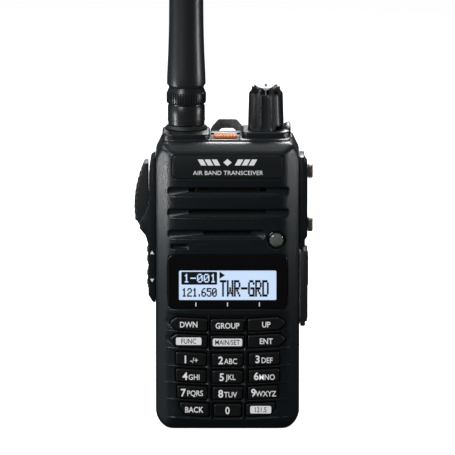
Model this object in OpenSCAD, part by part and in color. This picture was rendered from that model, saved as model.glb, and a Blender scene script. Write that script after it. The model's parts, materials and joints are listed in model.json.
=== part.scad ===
// Handheld aviation radio: case, keypad, push-to-talk side module, screw-on antenna, volume knob,
// tip-out battery pack with a sprung belt clip. Front faces -Y, +X is the right hand, +Z is up.
// The origin is the middle of the case's bottom face. Millimetres.

/* [Case] */
// Width of the case across its flat sides
case_w = 52; // [50:0.5:54]
// Height of the case from its base to its shoulder
case_h = 104.5; // [104:0.5:105]
// Distance from the parting line forward to the front face
front_depth = 18; // [17.5:0.1:18.5]
// Wall thickness of the mouldings
wall = 2.4; // [2.2:0.1:2.6]
// Radius of the two bottom corners
foot_r = 6.5; // [5:0.5:8]

/* [Front face] */
// Width of the display window
window_w = 43.2; // [41:0.2:44]
// Height of the display window
window_h = 19.9; // [18:0.1:20]
// Height of the window's middle above the base
window_z = 54.4; // [54:0.2:55]
// Width of the name plate
plate_w = 39.8; // [36:0.2:40]
// Height of the name plate
plate_h = 8.6; // [8:0.2:9]
// Height of the name plate's middle above the base
plate_z = 96.4; // [96:0.2:96.6]
// Height of one speaker groove
groove_h = 2.9; // [2.4:0.1:3.2]

/* [Keys] */
// Height of one key cap
key_h = 4.6; // [4.2:0.1:4.7]
// How far a key cap stands out of the front face
key_proud = 0.5; // [0.3:0.1:0.8]
// Travel of a key
key_travel = 0.8; // [0.5:0.1:0.9]
// Gap all round a key cap
key_gap = 0.3; // [0.25:0.05:0.35]

/* [Side controls] */
// Travel of the push-to-talk button
ptt_travel = 1.2; // [0.8:0.1:1.3]
// Travel of the two small side keys
side_key_travel = 0.7; // [0.5:0.1:0.8]

/* [Antenna and knob] */
// Distance of the antenna's axis left of the middle
antenna_x = 14.9; // [14.5:0.1:15.2]
// Height of the antenna's tip above the base
antenna_top = 268; // [200:1:300]
// Distance of the knob's axis right of the middle
knob_x = 13.9; // [13.7:0.1:14.1]
// Radius of the knob at its foot
knob_r = 6.65; // [6.2:0.05:6.7]
// Number of ribs round the knob
knob_ribs = 7; // [5:1:9]

/* [Battery and clip] */
// Distance from the parting line back to the rear face of the pack
pack_back = 14; // [13.6:0.1:14.6]
// Gap between the pack and the belt clip
belt_gap = 4.6; // [4.4:0.1:5]
// Width of the belt clip
clip_w = 17; // [15:0.5:20]

/* [Hidden] */
$fn = 64;

eps = 0.01;              // overlap that keeps two joined solids one
fine = 0.3;              // clearance between a moving piece and its surround
part_y = 3;              // the parting line between front case and rear chassis
front_y = part_y - front_depth;
half_w = case_w / 2;
bevel_w = 5.7;           // width of the front face's side bevels
bevel_d = 5.5;           // depth of those bevels
top_bevel_h = 3.6;
top_bevel_d = 4.5;
foot_bevel_h = 4.5;
foot_bevel_d = 2.2;
side_slip = 0.37;        // how far each bevel's corners move when the shell is drawn in by 1
face_slip = 0.56;
end_slip = 0.4;
shoulder_w = 46.8;       // width of the case's flat top
shoulder_h = 5.4;        // height of the sloping shoulders
chassis_t = 2.2;
chassis_y = part_y + 0.4;
head_z = 89.5;           // underside of the hollow chassis head, which stands over the pack
head_back = 15.6;
foot_back = 15;          // how far the chassis foot reaches back under the pack
foot_t = 1.4;
axis_y = 6.6;            // depth of the antenna and knob axes
plate_top = case_h + 0.6;
collar_top = 107.1;
guard_top = 109.2;
mouldings_back = 14.4;   // how far the collar and the guard reach back
neck_r = 3.05;           // threaded necks of the antenna socket and the volume control
neck_bore_r = 3.1;
sleeve_foot = 108.8;     // the antenna's sleeve, from its foot to the whip
sleeve_top = 122.4;
sleeve_r = 6.75;
sleeve_bore_r = 5.05;
knurl_r = 7.2;
plug_r = 5;
shaft_r = 1.5;
whip_tip_r = 5.2;

// Key table: rows from the top, each with its height, the outer keys' centre and width, the middle key's
// width, and how the outer keys end (1 pointed, 0 square, -1 tapered at the foot)
key_rows = [
    [38.9, 14.0, 13.3, 12.1, 1],
    [32.8, 14.0, 13.3, 12.1, 1],
    [26.2, 13.2, 10.9, 11.0, 0],
    [20.0, 13.2, 10.9, 11.0, 0],
    [13.9, 12.8, 10.7, 10.8, 0],
    [7.7, 12.0, 10.5, 9.9, -1]
];
mat_y = front_y + wall + 1 + key_travel + fine;
first_key = 24;          // place of the first key's name in NODES
smile = 0.0022;          // how fast a key row curves up towards its ends
flange_grow = 0.45;      // how far a key's hidden flange stands out past its cap
pocket_grow = 0.75;

pack_w = 51.2;
pack_y = part_y + 3.2;
pack_z0 = 3;
pack_z1 = 87.5;
pack_back_y = part_y + pack_back;
pivot_r = 1.8;           // radius of the pack's lower front edge, about which it tips out
clip_y = pack_back_y + belt_gap;
clip_t = 1.6;
clip_pin_y = clip_y - 1.9;
clip_pin_z = 78;
clip_pin_r = 1;
clip_ear_r = 2;
bracket_ear_r = 1.6;     // smaller than the pin's distance from the clip plate
running = 0.05;          // radial clearance of a turning fit

// ---- outlines ----

function unit(v) = v / norm(v);

// Points of one rounded corner at b between a and c
function corner(a, b, c, r, n) =
    let (u = unit(a - b), v = unit(c - b), half = acos(u * v) / 2,
         o = b + unit(u + v) * r / sin(half),
         s = b + u * r / tan(half) - o, e = b + v * r / tan(half) - o,
         from = atan2(s[1], s[0]), turn = atan2(e[1], e[0]) - from,
         short = turn > 180 ? turn - 360 : turn < -180 ? turn + 360 : turn)
    [for (i = [0:n]) o + r * [cos(from + short * i / n), sin(from + short * i / n)]];

// A closed outline from [x, y, corner radius] points
function rounded(path, n = 6) =
    let (m = len(path), at = function(i) [path[i % m][0], path[i % m][1]])
    [for (i = [0:m - 1])
        each path[i][2] > 0 ? corner(at(i + m - 1), at(i), at(i + 1), path[i][2], n) : [at(i)]];

function box_path(w, h, r, cx = 0, cy = 0) =
    [[cx - w / 2, cy - h / 2, r], [cx + w / 2, cy - h / 2, r],
     [cx + w / 2, cy + h / 2, r], [cx - w / 2, cy + h / 2, r]];

function mirrored(path) = [for (i = [len(path) - 1:-1:0]) [-path[i][0], path[i][1], path[i][2]]];

// Extrusions of an outline along each axis: X-Z outlines along Y, Y-Z outlines along X
module along_y(y0, y1) { translate([0, y1, 0]) rotate([90, 0, 0]) linear_extrude(y1 - y0) children(); }
module along_x(x0, x1) { translate([x0, 0, 0]) rotate([90, 0, 90]) linear_extrude(x1 - x0) children(); }
module along_z(z0, z1) { translate([0, 0, z0]) linear_extrude(z1 - z0) children(); }

module rod_y(x, z, r, y0, y1) { translate([x, y1, z]) rotate([90, 0, 0]) cylinder(r = r, h = y1 - y0); }
module rod_x(y, z, r, x0, x1) { translate([x0, y, z]) rotate([0, 90, 0]) cylinder(r = r, h = x1 - x0); }
module rod_z(x, y, r, z0, z1) { translate([x, y, z0]) cylinder(r = r, h = z1 - z0); }
module block(lo, hi) { translate(lo) cube(hi - lo); }
module square_at(w, h, cx, cy) { translate([cx - w / 2, cy - h / 2]) square([w, h]); }

// ---- case ----

function case_face(inset) =
    [[-half_w + inset, inset, foot_r - inset], [half_w - inset, inset, foot_r - inset],
     [half_w - inset, case_h - shoulder_h, 4], [shoulder_w / 2 - inset, case_h - inset, 1.2],
     [inset - shoulder_w / 2, case_h - inset, 1.2], [inset - half_w, case_h - shoulder_h, 4]];

// The front shell's body, drawn in by inset from its outer surface and open at its back
module shell_body(inset, back) {
    face_y = front_y + inset;
    half = half_w - inset;
    soften = 2 - inset / 2;
    intersection() {
        along_y(front_y - 1, back) polygon(rounded(case_face(inset)));
        along_z(-1, case_h + 1) polygon(rounded([
            [-half, back, 0], [half, back, 0],
            [half, front_y + bevel_d + inset * side_slip, soften],
            [half - bevel_w + inset * face_slip, face_y, soften],
            [bevel_w - inset * face_slip - half, face_y, soften],
            [-half, front_y + bevel_d + inset * side_slip, soften]]));
        along_x(-case_w, case_w) polygon(rounded([
            [back, inset, 0], [back, case_h - inset, 0],
            [front_y + top_bevel_d + inset * end_slip, case_h - inset, soften],
            [face_y, case_h - top_bevel_h - inset * end_slip, soften],
            [face_y, foot_bevel_h + inset * end_slip, soften],
            [front_y + foot_bevel_d + inset * end_slip, inset, soften]]));
    }
}

boss_at = [[-20.8, 6.6], [20.8, 6.6], [-18.5, 84], [18.5, 84]];
boss_r = 2;
speaker_z = 79.6;
groove_z = [87.4, 79.5, 71.8];
groove_x0 = [-21.3, -21.3, -21.3];
groove_x1 = [22, 22, 13.8];
slot_half = [14, 14, 8.4];
lens_at = [17.6, 69.7];
lens_r = 2.7;
mic_at = [-17.3, 67.2];

module front_case() color([0.16, 0.17, 0.18]) {
    difference() {
        union() {
            difference() {
                shell_body(0, part_y);
                shell_body(wall, part_y + 1);
            }
            for (p = boss_at) rod_y(p[0], p[1], boss_r, front_y + wall - eps, part_y);
        }
        for (p = boss_at) rod_y(p[0], p[1], 0.8, front_y + wall + 3, part_y + 1);
        name_recess();
        for (i = [0:2]) speaker_groove(i);
        microphone_slot();
        lens_seat();
        window_seat();
        for (row = [0:5], col = [-1:1]) key_opening(row, col);
        side_openings();
    }
    charge_lugs();
}

module name_recess() {
    along_y(front_y - 1, front_y + 0.8) polygon(rounded(box_path(plate_w, plate_h, 1.6, 0, plate_z)));
}

module speaker_groove(i) {
    x0 = groove_x0[i];
    x1 = groove_x1[i];
    along_y(front_y - 1, front_y + 1.1)
        polygon(rounded(box_path(x1 - x0, groove_h, 1, (x0 + x1) / 2, groove_z[i])));
    along_y(front_y, front_y + wall + 1)
        square_at(2 * slot_half[i], groove_h / 2, 0, groove_z[i] + 0.6);
}

module microphone_slot() {
    along_y(front_y - 1, front_y + 0.9)
        polygon(rounded(box_path(6.4, 1.8, 0.85, mic_at[0], mic_at[1])));
    rod_y(mic_at[0], mic_at[1], 0.6, front_y, front_y + wall + 1);
}

module lens_seat() {
    rod_y(lens_at[0], lens_at[1], 4.4, front_y - 1, front_y + 0.9);
    rod_y(lens_at[0], lens_at[1], lens_r + 0.05, front_y, front_y + wall + 1);
    rod_y(lens_at[0], lens_at[1], lens_r + 0.8, front_y + wall - 0.15, front_y + 6);
}

module window_seat() {
    along_y(front_y - 1, front_y + 1.4) polygon(rounded(box_path(window_w, window_h, 2, 0, window_z)));
    along_y(front_y, front_y + wall + 1)
        polygon(rounded(box_path(window_w - 5, window_h - 5.6, 1, 0, window_z - 1)));
}

module side_openings() {
    rod_x(ptt_post_y, ptt_post_z, ptt_post_r + fine, -half_w - 1, wall - half_w + 1);
    for (z = side_key_z) rod_x(side_key_y, z, 1 + fine, -half_w - 1, wall - half_w + 1);
    rod_x(jack_y, jack_z, 4.2, half_w - wall - 1, half_w + 1);
    for (z = screw_z) rod_x(jack_y, z, 1.35, half_w - 0.5, half_w + 1);
    block([half_w - wall - 1, charge_y - 3.8, charge_z - 3.6],
          [half_w + 1, charge_y + 3.8, charge_z + 3.6]);
}

// Two lugs that carry the charge cover's trunnions
module charge_lugs() {
    for (z = [hinge_z0 - 1.6, hinge_z1 + 0.2])
        difference() {
            union() {
                block([half_w - 0.5, hinge_y - 1.2, z], [hinge_x, hinge_y + 1.2, z + 1.4]);
                rod_z(hinge_x, hinge_y, 1.4, z, z + 1.4);
            }
            rod_z(hinge_x, hinge_y, 0.6 + running, z - 1, z + 3);
        }
}

module rear_chassis() color([0.14, 0.15, 0.16]) {
    difference() {
        union() {
            along_y(chassis_y, chassis_y + chassis_t) polygon(rounded(case_face(0)));
            intersection() {
                along_y(chassis_y, head_back) polygon(rounded(case_face(0)));
                block([-half_w, chassis_y, head_z], [half_w, head_back, case_h]);
                along_x(-half_w, half_w) polygon(rounded([
                    [chassis_y, head_z, 0], [head_back, head_z, 1.2],
                    [head_back, case_h, 1.5], [chassis_y, case_h, 0]]));
            }
            intersection() {
                along_y(chassis_y, foot_back) polygon(rounded(case_face(0)));
                block([-half_w, chassis_y, 0], [half_w, foot_back, foot_t]);
            }
        }
        block([-21.5, part_y - 1, head_z + 2], [21.5, head_back - 2, case_h - wall]);
        for (p = boss_at) {
            rod_y(p[0], p[1], 1.15, part_y - 1, chassis_y + chassis_t + 1);
            rod_y(p[0], p[1], 2.1, chassis_y + 1.2, chassis_y + chassis_t + 1);
        }
        rod_z(-antenna_x, axis_y, neck_bore_r, case_h - wall - 1, case_h + 1);
        rod_z(knob_x, axis_y, neck_bore_r, case_h - wall - 1, case_h + 1);
        block([-3.4, chassis_y + 0.5, head_z - 2], [1.8, 8.5, case_h + 1]);
        for (x = contact_x) block([x - 1.4, part_y - 1, 21.6], [x + 1.4, chassis_y + chassis_t + 1, 30.4]);
    }
}

module case_seal() color([0.05, 0.05, 0.05])
    along_y(part_y, chassis_y) difference() {
        polygon(rounded(case_face(0.7)));
        polygon(rounded(case_face(1.8)));
    }

// Moulded cap over the top: a thin plate with the antenna's collar and the knob's guard
module top_cap() color([0.17, 0.18, 0.19]) {
    ax = -antenna_x;
    ay = axis_y;
    difference() {
        union() {
            along_z(case_h, plate_top)
                polygon(rounded(box_path(shoulder_w - 1.4, 21.4, 4, 0, 3.2)));
            along_z(case_h, collar_top) polygon(rounded([
                [ax - 8.7, -7, 4], [ax + 8.6, -7, 3.5],
                [ax + 8.6, mouldings_back, 4], [ax - 8.7, mouldings_back, 4]]));
            along_z(case_h, collar_top + 0.1) polygon(rounded([
                [knob_x - 8.9, -3, 2], [knob_x + 9.1, -3, 5],
                [knob_x + 9.1, mouldings_back, 4], [knob_x - 8.9, mouldings_back, 2]]));
            along_z(case_h, guard_top) polygon(rounded([
                [knob_x + 5.6, 0.6, 0], [knob_x + 9.1, 2.6, 1],
                [knob_x + 9.1, 11.4, 1], [knob_x + 5.6, 13, 0]]));
        }
        rod_z(ax, ay, neck_bore_r, case_h - 1, guard_top + 1);
        rod_z(ax, ay, 6.2, collar_top - 1.1, guard_top + 1);
        rod_z(knob_x, ay, neck_bore_r, case_h - 1, guard_top + 1);
        rod_z(knob_x, ay, knob_r + 0.35, plate_top + 0.3, guard_top + 1);
        block([-5.8, -4.9, case_h - 1], [4.3, 8.6, guard_top + 1]);
    }
}

module name_plate() color([0.12, 0.13, 0.14])
    along_y(front_y + 0.2, front_y + 0.8)
        polygon(rounded(box_path(plate_w - 0.2, plate_h - 0.2, 1.5, 0, plate_z)));

module display_window() color([0.02, 0.02, 0.02])
    along_y(front_y + 0.1, front_y + 1.4)
        polygon(rounded(box_path(window_w - 0.2, window_h - 0.2, 1.9, 0, window_z)));

module display_panel() color([0.63, 0.73, 0.84])
    block([-19, front_y + wall + 0.1, window_z - 8.6], [19, front_y + wall + 2.2, window_z + 6.9]);

module status_lens() color([0.75, 0.78, 0.72])
    translate([lens_at[0], front_y + wall + 0.6, lens_at[1]]) rotate([90, 0, 0])
        rotate_extrude() polygon([
            [0, 0], [lens_r + 0.6, 0], [lens_r + 0.6, 0.5], [lens_r, 0.5], [lens_r, 2.2],
            for (a = [0:15:75]) [lens_r * cos(a), 2.2 + 1.2 * sin(a)], [0, 3.4]]);

// ---- inside the case ----

module speaker() color([0.3, 0.3, 0.32])
    translate([0, front_y + wall + 0.7, speaker_z]) rotate([-90, 0, 0])
        rotate_extrude() polygon([[0, 2.4], [4, 2.4], [11, 0.6], [12, 0], [14, 0], [14, 1.2], [12.6, 1.6],
                                  [8, 4], [8, 7], [0, 7]]);

module speaker_mesh() color([0.05, 0.05, 0.05])
    rod_y(0, speaker_z, 13.8, front_y + wall + 0.1, front_y + wall + 0.6);

module microphone() color([0.6, 0.6, 0.6])
    rod_y(mic_at[0], mic_at[1], 1.7, front_y + wall + 0.1, front_y + wall + 1.8);

// A board's outline, notched round the two lower screw bosses
function board_path(z0, z1, half) = [
    [-half, z0 + 7], [-half + 5, z0 + 7], [-half + 5, z0], [half - 5, z0], [half - 5, z0 + 7],
    [half, z0 + 7], [half, z1], [-half, z1]];

module keypad_mat() color([0.08, 0.08, 0.09])
    along_y(mat_y, mat_y + 0.8) polygon(board_path(3.5, 41.8, 21));

module keypad_board() color([0.1, 0.35, 0.2])
    along_y(mat_y + 1.5, mat_y + 2.5) polygon(board_path(3.5, 61.8, 22));

module main_board() color([0.1, 0.3, 0.18]) {
    block([-17.5, -3.4, 3.5], [17.5, -2.2, 80]);
    block([-12, -2.21, 20], [10, -0.4, 44]);
    block([-9, -2.21, 52], [9, 0, 76]);
}

contact_x = [-8, 0, 8];
module battery_contacts() color([0.85, 0.7, 0.35])
    for (x = contact_x) block([x - 1.1, -0.35, 22], [x + 1.1, pack_y - 0.3, 30]);

module case_screws() color([0.6, 0.6, 0.62])
    for (p = boss_at) {
        rod_y(p[0], p[1], 0.78, front_y + wall + 8, chassis_y + 1.3);
        rod_y(p[0], p[1], 1.9, chassis_y + 1.2, chassis_y + 2.1);
    }

// ---- top controls ----

module antenna_socket() color([0.8, 0.68, 0.4])
    translate([-antenna_x, axis_y, 0]) difference() {
        union() {
            rod_z(0, 0, neck_r, case_h - 6, 113);
            rod_z(0, 0, 3.9, case_h - 4, case_h - wall - 0.1);
        }
        rod_z(0, 0, 1.1, 104, 114);
    }

module antenna_plug() color([0.8, 0.68, 0.4])
    translate([-antenna_x, axis_y, 0]) difference() {
        rod_z(0, 0, plug_r, sleeve_foot, sleeve_top);
        difference() {
            rod_z(0, 0, neck_r + 0.07, sleeve_foot - 1, 114.2);
            rod_z(0, 0, 0.6, sleeve_foot - 1.1, 114.3);
        }
    }

module antenna_gasket() color([0.06, 0.06, 0.06])
    translate([-antenna_x, axis_y, 0]) rotate_extrude()
        polygon([[3.6, 107.15], [7.7, 107.15], [7.6, 107.7], [6.9, 108.6], [3.6, 108.6]]);

// Sleeve with its knurled ring, over the plug
module antenna_sleeve() color([0.1, 0.1, 0.11])
    translate([-antenna_x, axis_y, 0]) {
        rotate_extrude() polygon([
            [sleeve_bore_r, sleeve_foot], [sleeve_r - 0.2, sleeve_foot], [sleeve_r - 0.05, 110.2],
            [sleeve_r + 0.1, 110.3], [sleeve_r + 0.1, 110.7], [sleeve_r, 110.8], [sleeve_r, 115.7],
            [sleeve_r - 0.45, 115.9], [sleeve_r - 0.45, 116.4], [knurl_r - 0.2, 116.5],
            [knurl_r - 0.2, 120.7], [sleeve_r - 0.45, sleeve_top], [sleeve_bore_r, sleeve_top]]);
        along_z(116.7, 120.6) difference() {
            polygon([for (i = [0:71]) (i % 2 == 0 ? knurl_r : knurl_r - 0.3) * [cos(i * 5), sin(i * 5)]]);
            circle(r = 6.5);
        }
    }

// Flexible whip: stout at its foot, drawn in to a slim rounded tip
module antenna_whip() color([0.12, 0.12, 0.13]) {
    foot = sleeve_top + 0.1;
    dome = antenna_top - 4;
    translate([-antenna_x, axis_y, 0]) rotate_extrude() polygon([
        [0, foot], [6.3, foot], [6.6, foot + 0.7], [7.05, foot + 0.9], [7, foot + 4], [6.6, foot + 11.5],
        [6.25, foot + 23.5], [whip_tip_r, dome],
        for (a = [15:15:75]) [whip_tip_r * cos(a), dome + 4 * sin(a)],
        [0, antenna_top]]);
}

module volume_control() color([0.4, 0.4, 0.42])
    translate([knob_x, axis_y, 0]) difference() {
        union() {
            rod_z(0, 0, neck_r, case_h - 3, case_h + 0.3);
            block([-5, -3, case_h - 9], [5, 6, case_h - wall - 0.1]);
        }
        rod_z(0, 0, shaft_r + running, case_h - 7, 106);
    }

module knob_shaft() color([0.7, 0.7, 0.72])
    rod_z(knob_x, axis_y, shaft_r, case_h - 6.5, 115);

module volume_knob() color([0.13, 0.14, 0.15])
    translate([knob_x, axis_y, 0]) {
        foot = 105.6;
        shoulder = 120.4;
        difference() {
            union() {
                translate([0, 0, foot])
                    cylinder(r1 = knob_r - 1.5, r2 = knob_r - 2, h = shoulder - foot - 0.6);
                translate([0, 0, foot]) cylinder(r = knob_r - 0.1, h = 1);
                rod_z(0, 0, 2.6, foot, 121.6);
                intersection() {
                    rotate_extrude() polygon([
                        [0, foot], [knob_r, foot], [knob_r - 0.45, shoulder], [5.3, shoulder + 1],
                        [5.1, shoulder + 2.4], [1.5, shoulder + 0.8], [0, shoulder + 0.8]]);
                    union() for (i = [0:knob_ribs - 1]) rotate([0, 0, 90 + i * 360 / knob_ribs])
                        translate([0, -0.5, foot]) cube([knob_r + 1, 1, 20]);
                }
            }
            rod_z(0, 0, shaft_r, foot - 1, 115.2);
        }
    }

latch_top = case_h + 1.4;
module battery_latch() color([0.85, 0.38, 0.12]) {
    rib_pitch = 1.1;
    difference() {
        union() {
            block([-4.9, -2, case_h + 0.2], [3.3, 3, latch_top]);
            block([-4.9, 3 - eps, case_h + 0.2], [3.3, 8.2, case_h + 0.7]);
        }
        for (i = [-3:3]) translate([i * rib_pitch - 0.8, 0, 0])
            block([-0.25, -3, latch_top - 0.35], [0.25, 4, latch_top + 1]);
    }
    block([-3, 6.6, head_z - 1.5], [1.4, 8.2, case_h + 0.3]);
    block([-3, 6.6, head_z - 1.5], [1.4, 12, head_z - 0.5]);
}

// ---- left side ----

ptt_post_r = 1.6;
ptt_post_y = -2;
ptt_post_z = 84;
side_key_z = [62.6, 54];
side_key_half = 3.5;
side_key_y = -2;
frame_x = half_w + 2.6;

module side_frame() color([0.16, 0.17, 0.19])
    difference() {
        along_y(-9.2, chassis_y + chassis_t) polygon(rounded([
            [-half_w - 0.05, 99, 0], [-half_w - 0.05, 46, 0],
            [-frame_x + 1.6, 46, 0.6], [-frame_x, 48.6, 1], [-frame_x, 67, 3],
            [-frame_x - 1, 70.4, 1.5], [-frame_x - 3.1, 73, 1], [-frame_x - 3.1, 75, 1],
            [-frame_x + 0.2, 81, 8],
            [-frame_x + 0.3, 93.6, 2], [-frame_x + 1, 98, 1]]));
        block([-frame_x - 6, -7, 73.3], [-half_w - 1, 3.8, 97]);
        for (z = side_key_z)
            block([-frame_x - 1, side_key_y - 4.3, z - side_key_half - 0.4],
                  [-half_w - 1, side_key_y + 4.3, z + side_key_half + 0.4]);
        rod_x(ptt_post_y, ptt_post_z, ptt_post_r + fine, -frame_x, -half_w + 1);
        for (z = side_key_z) rod_x(side_key_y, z, 1 + fine, -frame_x, -half_w + 1);
    }

// Outer edge of the push-to-talk button at a height
function ptt_edge(z) = -half_w - 7.75 + 0.015 * (z - 80.5) * (z - 80.5);

module ptt_button() color([0.1, 0.11, 0.12]) {
    rib_pitch = 2.2;
    rib_depth = 0.6;
    along_y(-6.6, 3.4) polygon([
        [-half_w - 2.5, 96.6], [-half_w - 2.5, 73.8], [-half_w - 6, 73.8],
        for (z = [75.4:rib_pitch:92]) each [
            [ptt_edge(z) + rib_depth, z], [ptt_edge(z + 0.3), z + 0.3],
            [ptt_edge(z + 1.3), z + 1.3], [ptt_edge(z + 1.6) + rib_depth, z + 1.6]],
        [ptt_edge(94), 94], [ptt_edge(95.8), 95.8], [-half_w - 3.6, 96.6]]);
    rod_x(ptt_post_y, ptt_post_z, ptt_post_r, -half_w - 2.6, -half_w + wall - 0.7);
}

module side_key(i) color([0.09, 0.1, 0.11]) {
    z = side_key_z[i];
    half = side_key_half;
    block([-half_w - 2.9, side_key_y - 4, z - half],
          [-half_w - 1.1 - side_key_travel, side_key_y + 4, z + half]);
    for (dz = [-1.7, 1.7]) intersection() {
        rod_x(side_key_y, z + dz, 1.4, -half_w - 3.2, -half_w - 2.8);
        block([-half_w - 4, side_key_y - 4, z - half], [0, side_key_y + 4, z + half]);
    }
    rod_x(side_key_y, z, 1, -half_w - 1.9, -half_w + wall - 0.7);
}

module side_key_upper() { side_key(0); }
module side_key_lower() { side_key(1); }

module side_switches() color([0.7, 0.7, 0.7]) {
    inner = -half_w + wall + ptt_travel;
    block([inner + 0.2, -4.8, 48], [inner + 0.8, 0.8, 88]);
    block([inner - 0.5, ptt_post_y - 2, ptt_post_z - 2], [inner + 0.21, ptt_post_y + 2, ptt_post_z + 2]);
    for (z = side_key_z)
        block([inner - 0.5, side_key_y - 1.5, z - 1.5], [inner + 0.21, side_key_y + 1.5, z + 1.5]);
}

// ---- right side ----

jack_y = -2;
jack_z = 83;
screw_z = [93, 73.4];
charge_y = -4.4;
charge_z = 51;
hinge_x = half_w + 1.9;
hinge_y = 1.2;
hinge_z0 = 38.6;
hinge_z1 = 63.4;

module jack_cover() color([0.15, 0.16, 0.17])
    difference() {
        along_y(-8.8, chassis_y + chassis_t) polygon(rounded([
            [half_w + 0.05, 66, 0], [half_w + 2, 66, 0.5], [half_w + 2, 68.8, 0.5],
            [half_w + 2.9, 70.2, 0.8], [half_w + 2.9, 95.8, 0.8], [half_w + 1.9, 97.4, 0.6],
            [half_w + 1.7, 99, 0.5], [half_w + 0.05, 99, 0]]));
        for (z = screw_z) rod_x(jack_y, z, 1.35, half_w - 1, half_w + 4);
    }

module jack_screws() color([0.6, 0.5, 0.4])
    for (z = screw_z) {
        rod_x(jack_y, z, 1.25, half_w - 0.2, half_w + 3.1);
        translate([half_w + 3, jack_y, z]) rotate([0, 90, 0]) linear_extrude(1.9)
            polygon([for (i = [0:47]) (i % 2 == 0 ? 2.7 : 2.45) * [cos(i * 7.5), sin(i * 7.5)]]);
    }

module accessory_jack() color([0.5, 0.5, 0.5])
    difference() {
        rod_x(jack_y, jack_z, 4, half_w - 5, half_w - 0.3);
        rod_x(jack_y, jack_z, 1.8, half_w - 4, half_w + 1);
    }

module charge_jack() color([0.45, 0.45, 0.45])
    difference() {
        block([half_w - 8, charge_y - 3.5, charge_z - 3.4],
              [half_w - 0.3, charge_y + 3.5, charge_z + 3.4]);
        rod_x(charge_y, charge_z, 2.6, half_w - 7, half_w + 1);
    }

// Rubber flap over the charging socket, swinging on two trunnions
module charge_cover() color([0.12, 0.12, 0.13]) {
    along_y(-9.2, hinge_y - 1.7) polygon(rounded([
        [half_w + 0.3, 37.2, 0], [half_w + 2.1, 37.2, 0.5], [half_w + 2.1, 39.6, 0.5],
        [half_w + 3, 40.6, 0.6],
        [half_w + 3, 50.8, 0.3], [half_w + 2.6, 51.6, 0.2], [half_w + 3.2, 52.4, 0.3],
        [half_w + 3.2, 63, 0.8], [half_w + 2.2, 64.8, 0.5], [half_w + 0.3, 64.8, 0]]));
    block([hinge_x - 0.6, hinge_y - 2, hinge_z0], [hinge_x + 1.2, hinge_y, hinge_z1]);
    rod_z(hinge_x, hinge_y, 1.2, hinge_z0, hinge_z1);
    rod_z(hinge_x, hinge_y, 0.6, hinge_z0 - 1.3, hinge_z1 + 1.3);
}

// ---- keys ----

// Outline of one key cap, grown by g; col is -1, 0 or 1 and rows bend up towards their ends
function key_path(row, col, g) =
    let (k = key_rows[row], w = col == 0 ? k[3] : k[2], end = col == 0 ? 0 : k[4],
         cx = col == 0 ? 0 : k[1], cz = k[0] - 0.45,
         half = w / 2 + g, h = key_h / 2 + g, r = 0.7 + g / 2,
         pointed = [[-half, -h, r], [half - 2.2, -h, r], [half, -0.6, 1],
                    [half, 0.6, 1], [half - 2.2, h, r], [-half, h, r]],
         tapered = [[-half, -h, r], [half - 2, -h, 1.2], [half, 0.4, r], [half, h, r], [-half, h, r]],
         square = [[-half, -h, r], [half, -h, r], [half, h, r], [-half, h, r]],
         shape = end == 1 ? pointed : end == -1 ? tapered : square,
         set = [for (p = shape) let (x = cx + p[0]) [x, cz + p[1] + smile * x * x, p[2]]])
    col < 0 ? mirrored(set) : set;

module key_opening(row, col) {
    along_y(front_y - 1, front_y + wall + 0.1) polygon(rounded(key_path(row, col, key_gap)));
    along_y(front_y + wall - 0.1, front_y + 6) polygon(rounded(key_path(row, col, pocket_grow)));
}

module key(row, col) color([0.07, 0.07, 0.08]) {
    flange_y = front_y + wall + 0.2;
    along_y(front_y - key_proud, flange_y + 0.3) polygon(rounded(key_path(row, col, 0)));
    along_y(flange_y, flange_y + 0.8) polygon(rounded(key_path(row, col, flange_grow)));
}

// ---- battery pack and belt clip ----

function pack_face(inset) = rounded([
    [-pack_w / 2 + inset, pack_z0 + inset, 5], [pack_w / 2 - inset, pack_z0 + inset, 5],
    [pack_w / 2 - inset, pack_z1 - inset, 3 - inset], [inset - pack_w / 2, pack_z1 - inset, 3 - inset]]);

module pack_body(inset) {
    y0 = pack_y + inset;
    y1 = pack_back_y - inset;
    half = pack_w / 2 - inset;
    intersection() {
        along_y(y0, y1) polygon(pack_face(inset));
        along_z(0, 100) polygon(rounded([
            [-half, y0, 0], [half, y0, 0], [half, y1 - 4, 2], [half - 5, y1, 2],
            [5 - half, y1, 2], [-half, y1 - 4, 2]]));
        along_x(-half_w, half_w) polygon(rounded([
            [y0, pack_z0 + inset, pivot_r], [y1, pack_z0 + inset, 2.5],
            [y1, pack_z1 - inset, 2.5], [y0, pack_z1 - inset, 0]]));
    }
}

module battery_case() color([0.13, 0.14, 0.15]) {
    difference() {
        pack_body(0);
        pack_body(1.4);
    }
    for (side = [-1, 1]) translate([side * 24.2, 0, 0])
        rod_x(pack_y + pivot_r, pack_z0 + pivot_r, 1.2, -1, 1);
}

module battery_cells() color([0.25, 0.35, 0.6])
    for (z = [8, 46.5]) block([-19, pack_y + 1.7, z], [19, pack_back_y - 1.7, z + 37]);

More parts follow.
